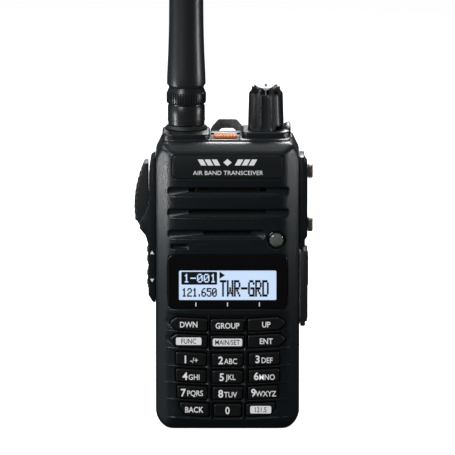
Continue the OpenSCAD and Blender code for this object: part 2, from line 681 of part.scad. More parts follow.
clip_screw_x = 6.2;
clip_screw_z = [clip_pin_z - 6.4, clip_pin_z + 5];
module clip_bracket() color([0.15, 0.16, 0.17])
    difference() {
        union() {
            block([-9, pack_back_y + 0.05, clip_pin_z - 8.5], [9, pack_back_y + 1.2, clip_pin_z + 7]);
            for (side = [-1, 1]) translate([side * 4.6, 0, 0]) {
                block([-1.2, pack_back_y + 1, clip_pin_z - bracket_ear_r],
                      [1.2, clip_pin_y, clip_pin_z + bracket_ear_r]);
                rod_x(clip_pin_y, clip_pin_z, bracket_ear_r, -1.2, 1.2);
            }
        }
        for (side = [-1, 1]) translate([side * 7.2, 0, 0])
            block([-1.3, pack_back_y, clip_pin_z - 2.6], [1.3, pack_back_y + 2, clip_pin_z + 2.6]);
        rod_x(clip_pin_y, clip_pin_z, clip_pin_r, -12, 12);
        for (x = [-clip_screw_x, clip_screw_x], z = clip_screw_z)
            rod_y(x, z, 0.8, pack_back_y - 1, pack_back_y + 3);
    }

module clip_pin() color([0.7, 0.7, 0.72]) rod_x(clip_pin_y, clip_pin_z, clip_pin_r, -8.4, 8.4);

module clip_spring() color([0.65, 0.65, 0.68])
    translate([-3.1, clip_pin_y, clip_pin_z]) rotate([0, 90, 0])
        difference() {
            cylinder(r = 1.4, h = 6.2);
            translate([0, 0, -1]) cylinder(r = 1.12, h = 9);
        }

module clip_screws() color([0.6, 0.6, 0.62])
    for (x = [-clip_screw_x, clip_screw_x], z = clip_screw_z)
        rod_y(x, z, 1.3, pack_back_y + 1.25, pack_back_y + 1.8);

// Sprung clip plate: a pressing tab with a window at its top, ears round the pin, and a toe at its foot
module belt_clip() color([0.4, 0.42, 0.43]) {
    tab_top = 108;
    toe_z = 30;
    difference() {
        union() {
            along_y(clip_y, clip_y + clip_t) polygon(rounded([
                [-clip_w / 2 + 2, toe_z, 3], [clip_w / 2 - 2, toe_z, 3],
                [clip_w / 2, 84, 8], [clip_w / 2, 96, 4], [6.2, 101.5, 4], [6.2, 104.6, 3],
                [3.2, tab_top, 1.6], [-3.2, tab_top, 1.6], [-6.2, 104.6, 3], [-6.2, 101.5, 4],
                [-clip_w / 2, 96, 4], [-clip_w / 2, 84, 8]]));
            for (side = [-1, 1]) translate([side * 7.2, 0, 0]) {
                rod_x(clip_pin_y, clip_pin_z, clip_ear_r, -1, 1);
                block([-1, clip_pin_y, clip_pin_z - clip_ear_r],
                      [1, clip_y + 0.1, clip_pin_z + clip_ear_r]);
            }
            block([-5, clip_y - 2.6, toe_z + 1.5], [5, clip_y + 0.1, toe_z + 3.5]);
        }
        rod_x(clip_pin_y, clip_pin_z, clip_pin_r + running, -12, 12);
        along_y(clip_y - 1, clip_y + 3) polygon(rounded([
            [-4.3, 99.4, 1], [4.3, 99.4, 1], [4.3, 102.8, 2.4],
            [2, 104.7, 1], [-2, 104.7, 1], [-4.3, 102.8, 2.4]]));
    }
}

// ---- what each node draws ----

front_case();
rear_chassis();
case_seal();
top_cap();
name_plate();
display_window();
display_panel();
status_lens();
speaker();
speaker_mesh();
microphone();
keypad_mat();
keypad_board();
main_board();
antenna_socket();
volume_control();
side_frame();
side_switches();
jack_cover();
jack_screws();
accessory_jack();
charge_jack();
battery_contacts();
case_screws();
for (row = [0:5], col = [-1:1])
    key(row, col);
ptt_button();
side_key_upper();
side_key_lower();
charge_cover();
volume_knob();
knob_shaft();
antenna_whip();
antenna_sleeve();
antenna_plug();
antenna_gasket();
battery_latch();
battery_case();
battery_cells();
belt_clip();
clip_bracket();
clip_pin();
clip_spring();
clip_screws();
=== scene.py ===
"""Looks of a handheld aviation radio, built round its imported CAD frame.

The front faces -Y, +X is the right hand and +Z is up. Shapes are worked out in
millimetres and written to the meshes in metres, in the frame's own axes.
"""

import json
import logging
import math
from dataclasses import dataclass, field
from enum import Enum
from typing import Callable, Sequence

import bmesh
import bpy
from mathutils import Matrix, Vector


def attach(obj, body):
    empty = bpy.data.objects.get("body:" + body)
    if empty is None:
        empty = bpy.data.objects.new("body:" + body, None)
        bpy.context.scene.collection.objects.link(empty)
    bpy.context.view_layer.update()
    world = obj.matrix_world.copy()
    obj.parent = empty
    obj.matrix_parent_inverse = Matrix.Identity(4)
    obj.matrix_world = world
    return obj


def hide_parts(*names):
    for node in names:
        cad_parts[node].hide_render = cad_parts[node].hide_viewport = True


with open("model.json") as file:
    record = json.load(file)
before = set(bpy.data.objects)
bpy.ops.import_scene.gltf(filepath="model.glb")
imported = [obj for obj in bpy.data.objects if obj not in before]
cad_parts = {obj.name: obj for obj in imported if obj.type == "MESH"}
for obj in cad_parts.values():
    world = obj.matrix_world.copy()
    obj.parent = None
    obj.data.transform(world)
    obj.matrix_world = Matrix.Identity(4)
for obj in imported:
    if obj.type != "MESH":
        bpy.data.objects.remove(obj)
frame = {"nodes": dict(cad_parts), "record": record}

LOG = logging.getLogger("radio")
MM = 0.001
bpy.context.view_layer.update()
SLOT_OF = {part["node"]: part["material_slot"] for part in frame["record"]["subparts"]}

Point = tuple[float, float]
Path = list[Point]
Colour = tuple[float, float, float]


class Axis(Enum):
    """The direction that an outline is drawn out along."""

    X = 0
    Y = 1
    Z = 2

    def lift(self, point: Point, depth: float) -> Vector:
        """Gives the place in metres of an outline point at a depth in millimetres."""
        a, b = point
        spots = {Axis.X: (depth, a, b), Axis.Y: (a, depth, b), Axis.Z: (a, b, depth)}
        return Vector(spots[self]) * MM


# ---- outlines, in millimetres ----


def rounded(corners: Sequence[tuple[float, float, float]], steps: int = 6) -> Path:
    """Rounds the corners of a closed outline.

    Args:
        corners: The x, y and radius of each corner, in order.
        steps: Number of chords in a rounded corner.

    Returns:
        The outline's points.
    """
    points: Path = []
    count = len(corners)
    for i, (x, y, radius) in enumerate(corners):
        here = Vector((x, y))
        if radius <= 0:
            points.append((x, y))
            continue
        before = (Vector(corners[i - 1][:2]) - here).normalized()
        after = (Vector(corners[(i + 1) % count][:2]) - here).normalized()
        half = before.angle(after) / 2
        middle = here + (before + after).normalized() * radius / math.sin(half)
        first = here + before * radius / math.tan(half) - middle
        last = here + after * radius / math.tan(half) - middle
        start = math.atan2(first.y, first.x)
        turn = math.atan2(last.y, last.x) - start
        turn = (turn + math.pi) % (2 * math.pi) - math.pi
        for k in range(steps + 1):
            angle = start + turn * k / steps
            points.append((middle.x + radius * math.cos(angle), middle.y + radius * math.sin(angle)))
    return points


def box_path(width: float, height: float, radius: float, cx: float = 0, cy: float = 0,
        steps: int = 6) -> Path:
    """Gives a rounded rectangle, anticlockwise from its lower left corner."""
    x, y = width / 2, height / 2
    corners = [(cx - x, cy - y), (cx + x, cy - y), (cx + x, cy + y), (cx - x, cy + y)]
    return rounded([(a, b, radius) for a, b in corners], steps)


def circle(radius: float, cx: float = 0, cy: float = 0, steps: int = 48) -> Path:
    """Gives a circle, anticlockwise."""
    turn = 2 * math.pi / steps
    return [(cx + radius * math.cos(i * turn), cy + radius * math.sin(i * turn)) for i in range(steps)]


def area(path: Path) -> float:
    """Gives the signed area of an outline: positive if it runs anticlockwise."""
    return sum(p[0] * q[1] - q[0] * p[1] for p, q in zip(path, path[1:] + path[:1])) / 2


def grown(path: Path, distance: float) -> Path:
    """Moves each point of an outline outwards, keeping the number of points.

    Args:
        path: A closed outline.
        distance: How far outwards, or inwards if negative.

    Returns:
        The moved outline.
    """
    sign = 1 if area(path) > 0 else -1
    moved: Path = []
    count = len(path)
    for i, point in enumerate(path):
        a, b, c = Vector(path[i - 1]), Vector(point), Vector(path[(i + 1) % count])
        one, two = b - a, c - b
        if one.length < 1e-7 or two.length < 1e-7:
            moved.append(point)
            continue
        n1 = Vector((one.y, -one.x)).normalized() * sign
        n2 = Vector((two.y, -two.x)).normalized() * sign
        middle = n1 + n2
        if middle.length < 1e-6:
            middle = n1
        middle.normalize()
        reach = distance / max(0.5, middle.dot(n1))
        moved.append((b.x + middle.x * reach, b.y + middle.y * reach))
    return moved


def between(a: Sequence[float], b: Sequence[float], t: float) -> tuple[float, ...]:
    """Gives the place a share t of the way from a to b."""
    return tuple(p + (q - p) * t for p, q in zip(a, b))


def ray_hit(path: Path, centre: Point, angle: float) -> Point:
    """Gives the outermost point where a ray from centre crosses an outline."""
    dx, dy = math.cos(angle), math.sin(angle)
    best = 0.0
    for (ax, ay), (bx, by) in zip(path, path[1:] + path[:1]):
        ex, ey = bx - ax, by - ay
        cross = dx * ey - dy * ex
        if abs(cross) < 1e-12:
            continue
        along = ((ax - centre[0]) * ey - (ay - centre[1]) * ex) / cross
        share = ((ax - centre[0]) * dy - (ay - centre[1]) * dx) / cross
        if -1e-9 <= share <= 1 + 1e-9:
            best = max(best, along)
    return centre[0] + dx * best, centre[1] + dy * best


def smooth(t: float) -> float:
    """Eases a share from 0 to 1."""
    t = min(1.0, max(0.0, t))
    return t * t * (3 - 2 * t)


# ---- meshes ----


def ring(bm: bmesh.types.BMesh, places: Sequence[Vector]) -> list[bmesh.types.BMVert]:
    """Adds one ring of vertices."""
    return [bm.verts.new(p) for p in places]


def loft(bm: bmesh.types.BMesh, rings: Sequence[Sequence[Vector]], first: bool = True,
        last: bool = True) -> None:
    """Skins rings that all have the same number of places.

    Args:
        bm: The mesh to add to.
        rings: The rings in order.
        first: Whether to close the first ring with a face.
        last: Whether to close the last ring with a face.
    """
    rows = [ring(bm, r) for r in rings]
    count = len(rows[0])
    for low, high in zip(rows, rows[1:]):
        for i in range(count):
            j = (i + 1) % count
            bm.faces.new((low[i], low[j], high[j], high[i]))
    if first:
        bm.faces.new(rows[0])
    if last:
        bm.faces.new(rows[-1])


def prism(
    bm: bmesh.types.BMesh, path: Path, axis: Axis, low: float, high: float,
    edge_low: float = 0.2, edge_high: float = 0.2, steps: int = 3,
) -> None:
    """Draws an outline out along an axis and rounds the edges of both ends.

    Args:
        bm: The mesh to add to.
        path: The closed outline.
        axis: The direction to draw it out along.
        low: Where the prism starts along the axis.
        high: Where it ends.
        edge_low: Radius of the edge at the start.
        edge_high: Radius of the edge at the end.
        steps: Number of chords in a rounded edge.
    """
    rings = []
    for k in range(steps + 1):
        a = math.pi / 2 * k / steps
        shape = grown(path, -edge_low * (1 - math.sin(a)))
        rings.append([axis.lift(p, low + edge_low * (1 - math.cos(a))) for p in shape])
    for k in range(steps + 1):
        a = math.pi / 2 * k / steps
        shape = grown(path, -edge_high * (1 - math.cos(a)))
        rings.append([axis.lift(p, high - edge_high * (1 - math.sin(a))) for p in shape])
    loft(bm, rings)


def lathe(
    bm: bmesh.types.BMesh, profile: Sequence[Point], centre: Vector, axis: Axis, steps: int = 64
) -> None:
    """Spins a profile of (radius, place along the axis) points about an axis.

    Args:
        bm: The mesh to add to.
        profile: The profile from one end to the other.
        centre: A point of the axis, in millimetres.
        axis: The direction of the axis.
        steps: Number of steps in the full turn.
    """
    ways = {Axis.X: (Vector((0, 1, 0)), Vector((1, 0, 0))), Axis.Y: (Vector((1, 0, 0)), Vector((0, 1, 0))),
            Axis.Z: (Vector((1, 0, 0)), Vector((0, 0, 1)))}
    out, along = ways[axis]
    base = Vector([0 if k == axis.value else centre[k] for k in range(3)])
    verts = [bm.verts.new((base + out * r + along * z) * MM) for r, z in profile]
    edges = [bm.edges.new(pair) for pair in zip(verts, verts[1:])]
    bmesh.ops.spin(
        bm, geom=verts + edges, cent=base * MM, axis=along, angle=2 * math.pi, steps=steps, use_merge=True,
        use_normal_flip=False, use_duplicate=False, dvec=(0, 0, 0),
    )


def wheel(
    bm: bmesh.types.BMesh, profile: Sequence[tuple[float, float, float]], centre: Vector, axis: Axis,
    teeth: int, width: float = 0.5,
) -> None:
    """Makes a turned piece whose rim has teeth.

    Args:
        bm: The mesh to add to.
        profile: The root radius, tooth radius and place along the axis of each ring.
        centre: A point of the axis, in millimetres.
        axis: The direction of the axis.
        teeth: Number of teeth.
        width: Share of the pitch that a tooth takes.
    """
    marks = [(0.0, 1), (width * 0.5, 1), (width * 0.5 + 0.12, 0), (1 - width * 0.5 - 0.12, 0),
        (1 - width * 0.5, 1)]
    others = [k for k in range(3) if k != axis.value]
    ca, cb = centre[others[0]], centre[others[1]]
    rings = []
    for root, tooth, place in profile:
        row = []
        for i in range(teeth):
            for share, high in marks:
                angle = 2 * math.pi * (i + share) / teeth
                radius = tooth if high else root
                row.append(axis.lift((ca + radius * math.cos(angle), cb + radius * math.sin(angle)), place))
        rings.append(row)
    loft(bm, rings)


# ---- finishes ----


class Pattern(Enum):
    """What a finish carries besides its moulded grain."""

    PLAIN = "plain"
    PEBBLE = "pebble"
    BRUSHED = "brushed"
    WEAVE = "weave"
    TRACES = "traces"
    CELLS = "cells"


@dataclass(frozen=True)
class Finish:
    """One named finish: colours, sheen and relief of its surface."""

    slot: str
    base: Colour
    shade: Colour
    roughness: float
    spread: float = 0.06
    grain: float = 0.35
    relief: float = 0.01
    metallic: float = 0.0
    coat: float = 0.0
    edge: float = 0.25
    dust: float = 0.05
    glow: float = 0.0
    clear: float = 0.0
    pattern: Pattern = Pattern.PLAIN


FINISHES = (
    Finish("case_plastic", (0.0110, 0.0170, 0.0205), (0.0068, 0.0108, 0.0132), 0.33, relief=0.13, grain=0.42),
    Finish("chassis_paint", (0.024, 0.027, 0.030), (0.018, 0.020, 0.022), 0.45, relief=0.012, metallic=0.2),
    Finish("plate_plastic", (0.020, 0.024, 0.026), (0.017, 0.020, 0.022), 0.32, relief=0.004),
    Finish("window_gloss", (0.004, 0.004, 0.005), (0.006, 0.006, 0.007), 0.12, 0.03, 3.0, 0.002, coat=0.3,
    edge=0.1),
    Finish("panel_glass", (0.34, 0.42, 0.54), (0.30, 0.38, 0.50), 0.30, 0.04, 0.5, 0.0, edge=0.0, dust=0.0,
           glow=1.6, pattern=Pattern.CELLS),
    Finish("clear_lens", (0.46, 0.50, 0.43), (0.36, 0.40, 0.34), 0.08, 0.03, 1.0, 0.004, coat=0.8, clear=0.6),
    Finish("rubber", (0.017, 0.0185, 0.020), (0.012, 0.0135, 0.0145), 0.52, relief=0.012, grain=0.3),
    Finish("key_rubber", (0.0065, 0.0065, 0.0075), (0.009, 0.009, 0.010), 0.42, relief=0.004, grain=0.25,
    edge=0.12),
    Finish("knob_plastic", (0.030, 0.033, 0.036), (0.024, 0.027, 0.030), 0.38, relief=0.006),
    Finish("whip_rubber", (0.024, 0.028, 0.031), (0.019, 0.022, 0.025), 0.34, relief=0.004, grain=0.6),
    Finish("sleeve_plastic", (0.020, 0.023, 0.025), (0.015, 0.018, 0.020), 0.30, relief=0.004),
    Finish("latch_orange", (0.95, 0.23, 0.035), (0.80, 0.18, 0.025), 0.42, relief=0.006),
    Finish("clip_grey", (0.26, 0.27, 0.275), (0.17, 0.18, 0.185), 0.48, relief=0.05, grain=0.9,
           pattern=Pattern.PEBBLE),
    Finish("screw_bronze", (0.62, 0.54, 0.47), (0.44, 0.37, 0.31), 0.34, metallic=0.85,
    pattern=Pattern.BRUSHED),
    Finish("steel", (0.50, 0.50, 0.51), (0.36, 0.36, 0.37), 0.32, metallic=0.95, pattern=Pattern.BRUSHED),
    Finish("brass", (0.66, 0.50, 0.22), (0.48, 0.34, 0.14), 0.30, metallic=0.95, pattern=Pattern.BRUSHED),
    Finish("mesh_cloth", (0.0015, 0.0015, 0.0015), (0.0008, 0.0008, 0.0008), 0.95, edge=0.0, dust=0.0,
           pattern=Pattern.WEAVE),
    Finish("circuit_board", (0.020, 0.10, 0.045), (0.012, 0.060, 0.030), 0.38, pattern=Pattern.TRACES),
    Finish("cell_wrap", (0.05, 0.12, 0.34), (0.035, 0.09, 0.27), 0.40),
    # Pale legend ink whose emission is a painted glow that brightens the print; it is no lamp.
    Finish("legend_ink_painted_glow", (0.78, 0.79, 0.80), (0.66, 0.67, 0.68), 0.45, grain=0.2, relief=0.001, edge=0.0,
    dust=0.0,
           glow=0.5),
    Finish("dark_ink", (0.006, 0.008, 0.016), (0.012, 0.014, 0.024), 0.45, grain=0.2, relief=0.001,
    edge=0.0, dust=0.0),
)


class NodeGroups:
    """The shader node groups that the finishes share, each built once."""

    def __init__(self) -> None:
        self.grain = self._grain()
        self.edges = self._edges()
        self.dust = self._dust()
        self.patterns = {
            Pattern.PEBBLE: self._pebble(), Pattern.BRUSHED: self._brushed(), Pattern.WEAVE: self._weave(),
            Pattern.TRACES: self._traces(), Pattern.CELLS: self._cells(),
        }

    @staticmethod
    def _start(name: str, inputs: Sequence[tuple[str, str]], outputs: Sequence[str]) -> tuple:
        """Makes an empty group with its sockets.

        Args:
            name: The group's name.
            inputs: Name and socket type of each input.
            outputs: Name of each value that comes out.

        Returns:
            The group, its input node and its output node.
        """
        group = bpy.data.node_groups.new(name, "ShaderNodeTree")
        for label, kind in inputs:
            group.interface.new_socket(name=label, in_out="INPUT", socket_type=kind)
        for label in outputs:
            group.interface.new_socket(name=label, in_out="OUTPUT", socket_type="NodeSocketFloat")
        return group, group.nodes.new("NodeGroupInput"), group.nodes.new("NodeGroupOutput")

    @staticmethod
    def _math(group: bpy.types.NodeTree, kind: str, a, b=0.0, clamp: bool = False) -> bpy.types.NodeSocket:
        """Adds a math node whose inputs are sockets or numbers and gives its output."""
        node = group.nodes.new("ShaderNodeMath")
        node.operation = kind
        node.use_clamp = clamp
        for socket, value in zip(node.inputs, (a, b)):
            if isinstance(value, (int, float)):
                socket.default_value = value
            else:
                group.links.new(value, socket)
        return node.outputs[0]

    @staticmethod
    def _noise(group: bpy.types.NodeTree, vector, scale, detail: float = 3.0) -> bpy.types.NodeSocket:
        """Adds a noise texture and gives its value."""
        node = group.nodes.new("ShaderNodeTexNoise")
        node.inputs["Detail"].default_value = detail
        group.links.new(vector, node.inputs["Vector"])
        if isinstance(scale, (int, float)):
            node.inputs["Scale"].default_value = scale
        else:
            group.links.new(scale, node.inputs["Scale"])
        return node.outputs[0]

    def _grain(self) -> bpy.types.NodeTree:
        """Fine moulded grain, with a broad tone that wanders over the surface."""
        group, given, out = self._start(
            "moulded_grain", [("Vector", "NodeSocketVector"), ("Scale", "NodeSocketFloat")],
            ["Height", "Tone"])
        vector, scale = given.outputs[0], given.outputs[1]
        fine = self._noise(group, vector, scale)
        cells = group.nodes.new("ShaderNodeTexVoronoi")
        cells.feature = "SMOOTH_F1"
        group.links.new(vector, cells.inputs["Vector"])
        group.links.new(scale, cells.inputs["Scale"])
        mixed = self._math(group, "MULTIPLY", self._math(group, "ADD", fine, cells.outputs["Distance"]), 0.5)
        broad = self._noise(group, vector, 90.0, 5.0)
        spotted = self._noise(group, vector, 700.0, 2.0)
        tone = self._math(group, "ADD", self._math(group, "MULTIPLY", broad, 0.7),
                          self._math(group, "MULTIPLY", spotted, 0.3))
        group.links.new(mixed, out.inputs["Height"])
        group.links.new(tone, out.inputs["Tone"])
        return group

    def _edges(self) -> bpy.types.NodeTree:
        """Mask of worn edges, broken up so that it never reads as a drawn line."""
        group, given, out = self._start(
            "edge_mask", [("Vector", "NodeSocketVector"), ("Amount", "NodeSocketFloat")], ["Mask"])
        geometry = group.nodes.new("ShaderNodeNewGeometry")
        sharp = self._math(group, "MULTIPLY", self._math(
            group, "SUBTRACT", geometry.outputs["Pointiness"], 0.53), 7.0, True)
        broken = self._noise(group, given.outputs[0], 420.0, 4.0)
        worn = self._math(group, "MULTIPLY", sharp, broken)
        group.links.new(self._math(group, "MULTIPLY", worn, given.outputs[1], True), out.inputs["Mask"])
        return group

    def _dust(self) -> bpy.types.NodeTree:
        """Mask of dust that settles on surfaces that face up."""
        group, given, out = self._start(
            "dust_mask", [("Vector", "NodeSocketVector"), ("Amount", "NodeSocketFloat")], ["Mask"])
        geometry = group.nodes.new("ShaderNodeNewGeometry")
        split = group.nodes.new("ShaderNodeSeparateXYZ")
        group.links.new(geometry.outputs["Normal"], split.inputs[0])
        up = self._math(group, "POWER", self._math(group, "MAXIMUM", split.outputs["Z"], 0.0), 2.0)
        flecks = self._noise(group, given.outputs[0], 1500.0, 6.0)
        broken = self._math(group, "MULTIPLY", up, flecks)
        group.links.new(self._math(group, "MULTIPLY", broken, given.outputs[1], True), out.inputs["Mask"])
        return group

    def _pebble(self) -> bpy.types.NodeTree:
        """Rounded pebbles close together."""
        group, given, out = self._start("pebble_pattern", [("Vector", "NodeSocketVector")],
            ["Mask", "Height"])
        cells = group.nodes.new("ShaderNodeTexVoronoi")
        cells.inputs["Scale"].default_value = 1150.0
        group.links.new(given.outputs[0], cells.inputs["Vector"])
        dome = self._math(group, "SUBTRACT", 1.0, cells.outputs["Distance"], True)
        group.links.new(dome, out.inputs["Height"])
        group.links.new(self._math(group, "POWER", dome, 3.0), out.inputs["Mask"])
        return group

    def _brushed(self) -> bpy.types.NodeTree:
        """Fine drawn lines across the metal."""
        group, given, out = self._start("brushed_pattern", [("Vector", "NodeSocketVector")],
            ["Mask", "Height"])
        stretch = group.nodes.new("ShaderNodeVectorMath")
        stretch.operation = "MULTIPLY"
        stretch.inputs[1].default_value = (1.0, 1.0, 14.0)
        group.links.new(given.outputs[0], stretch.inputs[0])
        lines = self._noise(group, stretch.outputs[0], 800.0, 6.0)
        group.links.new(lines, out.inputs["Height"])
        group.links.new(lines, out.inputs["Mask"])
        return group

    def _weave(self) -> bpy.types.NodeTree:
        """Threads that cross at right angles."""
        group, given, out = self._start("weave_pattern", [("Vector", "NodeSocketVector")], ["Mask", "Height"])
        split = group.nodes.new("ShaderNodeSeparateXYZ")
        group.links.new(given.outputs[0], split.inputs[0])
        threads = []
        for name in ("X", "Z"):
            phase = self._math(group, "MULTIPLY", split.outputs[name], 2 * math.pi / (0.7 * MM))
            threads.append(self._math(group, "ABSOLUTE", self._math(group, "SINE", phase)))
        both = self._math(group, "MULTIPLY", threads[0], threads[1])
        group.links.new(both, out.inputs["Mask"])
        group.links.new(both, out.inputs["Height"])
        return group

    def _traces(self) -> bpy.types.NodeTree:
        """Copper tracks under the green of a board."""
        group, given, out = self._start("trace_pattern", [("Vector", "NodeSocketVector")], ["Mask", "Height"])
        cells = group.nodes.new("ShaderNodeTexVoronoi")
        cells.distance = "MANHATTAN"
        cells.feature = "DISTANCE_TO_EDGE"
        cells.inputs["Scale"].default_value = 320.0
        group.links.new(given.outputs[0], cells.inputs["Vector"])
        line = self._math(group, "LESS_THAN", cells.outputs["Distance"], 0.08)
        group.links.new(line, out.inputs["Mask"])
        group.links.new(line, out.inputs["Height"])
        return group

    def _cells(self) -> bpy.types.NodeTree:
        """The faint grid of a dot-matrix panel."""
        group, given, out = self._start("panel_pattern", [("Vector", "NodeSocketVector")], ["Mask", "Height"])
        split = group.nodes.new("ShaderNodeSeparateXYZ")
        group.links.new(given.outputs[0], split.inputs[0])
        lines = []
        for name in ("X", "Z"):
            phase = self._math(group, "FRACT", self._math(group, "DIVIDE", split.outputs[name], 0.36 * MM))
            lines.append(self._math(group, "LESS_THAN", self._math(group, "ABSOLUTE", phase), 0.14))
        both = self._math(group, "MAXIMUM", lines[0], lines[1])
        group.links.new(both, out.inputs["Mask"])
        group.links.new(both, out.inputs["Height"])
        return group


class FinishShop:
    """Makes one procedural material for each finish."""

    def __init__(self, finishes: Sequence[Finish]) -> None:
        self.groups = NodeGroups()
        self.materials = {finish.slot: self._material(finish) for finish in finishes}

    def use(self, tree: bpy.types.NodeTree, group: bpy.types.NodeTree, vector,
            **values: float) -> bpy.types.Node:
        """Adds a group to a material, fed with its vector and values."""
        node = tree.nodes.new("ShaderNodeGroup")
        node.node_tree = group
        tree.links.new(vector, node.inputs["Vector"])
        for label, value in values.items():
            node.inputs[label].default_value = value
        return node

    def blend(self, tree: bpy.types.NodeTree, factor, a, b) -> bpy.types.NodeSocket:
        """Mixes two colours, each a socket or a colour, by a socket."""
        node = tree.nodes.new("ShaderNodeMix")
        node.data_type = "RGBA"
        tree.links.new(factor, node.inputs["Factor"])
        for label, value in (("A", a), ("B", b)):
            socket = [s for s in node.inputs if s.name == label and s.type == "RGBA"][0]
            if isinstance(value, tuple):
                socket.default_value = (*value, 1.0)
            else:
                tree.links.new(value, socket)
        return [s for s in node.outputs if s.type == "RGBA"][0]

    def _material(self, finish: Finish) -> bpy.types.Material:
        """Builds the node tree of one finish.

        Args:
            finish: The finish to build.

        Returns:
            The new material.
        """
        material = bpy.data.materials.new(finish.slot)
        material.use_nodes = True
        tree = material.node_tree
        shader = tree.nodes["Principled BSDF"]
        vector = tree.nodes.new("ShaderNodeTexCoord").outputs["Object"]
        grain = self.use(tree, self.groups.grain, vector, Scale=1 / (finish.grain * MM))
        colour = self.blend(tree, grain.outputs["Tone"], finish.base, finish.shade)
        height = grain.outputs["Height"]
        if finish.pattern is not Pattern.PLAIN:
            drawn = self.use(tree, self.groups.patterns[finish.pattern], vector)
            lighter = tuple(min(1.0, c * 1.8) for c in finish.base)
            darker = tuple(c * 0.8 for c in finish.base)
            colour = self.blend(tree, drawn.outputs["Mask"], colour, darker if finish.glow else lighter)
            height = drawn.outputs["Height"]
        if finish.edge:
            worn = self.use(tree, self.groups.edges, vector, Amount=finish.edge)
            colour = self.blend(tree, worn.outputs["Mask"], colour,
                tuple(min(1.0, c * 3 + 0.05) for c in finish.base))
        if finish.dust:
            dusty = self.use(tree, self.groups.dust, vector, Amount=finish.dust)
            colour = self.blend(tree, dusty.outputs["Mask"], colour, (0.32, 0.31, 0.29))
        tree.links.new(colour, shader.inputs["Base Color"])
        sheen = tree.nodes.new("ShaderNodeMapRange")
        sheen.inputs["To Min"].default_value = max(0.02, finish.roughness - finish.spread)
        sheen.inputs["To Max"].default_value = finish.roughness + finish.spread
        tree.links.new(grain.outputs["Tone"], sheen.inputs["Value"])
        tree.links.new(sheen.outputs["Result"], shader.inputs["Roughness"])
        if finish.relief:
            bump = tree.nodes.new("ShaderNodeBump")
            bump.inputs["Distance"].default_value = finish.relief * MM
            bump.inputs["Strength"].default_value = 0.8
            tree.links.new(height, bump.inputs["Height"])
            tree.links.new(bump.outputs["Normal"], shader.inputs["Normal"])
        # Emission: the lit panel's backlight, and a painted glow on the pale legend ink, which is no lamp.
        if finish.glow:
            tree.links.new(colour, shader.inputs["Emission Color"])
            shader.inputs["Emission Strength"].default_value = finish.glow
        shader.inputs["Metallic"].default_value = finish.metallic
        shader.inputs["Coat Weight"].default_value = finish.coat
        shader.inputs["Coat Roughness"].default_value = 0.08
        shader.inputs["Transmission Weight"].default_value = finish.clear
        return material

    def dress(self, obj: bpy.types.Object, slot: str) -> None:
        """Gives an object the finish of a slot and nothing else."""
        obj.data.materials.clear()
        obj.data.materials.append(self.materials[slot])


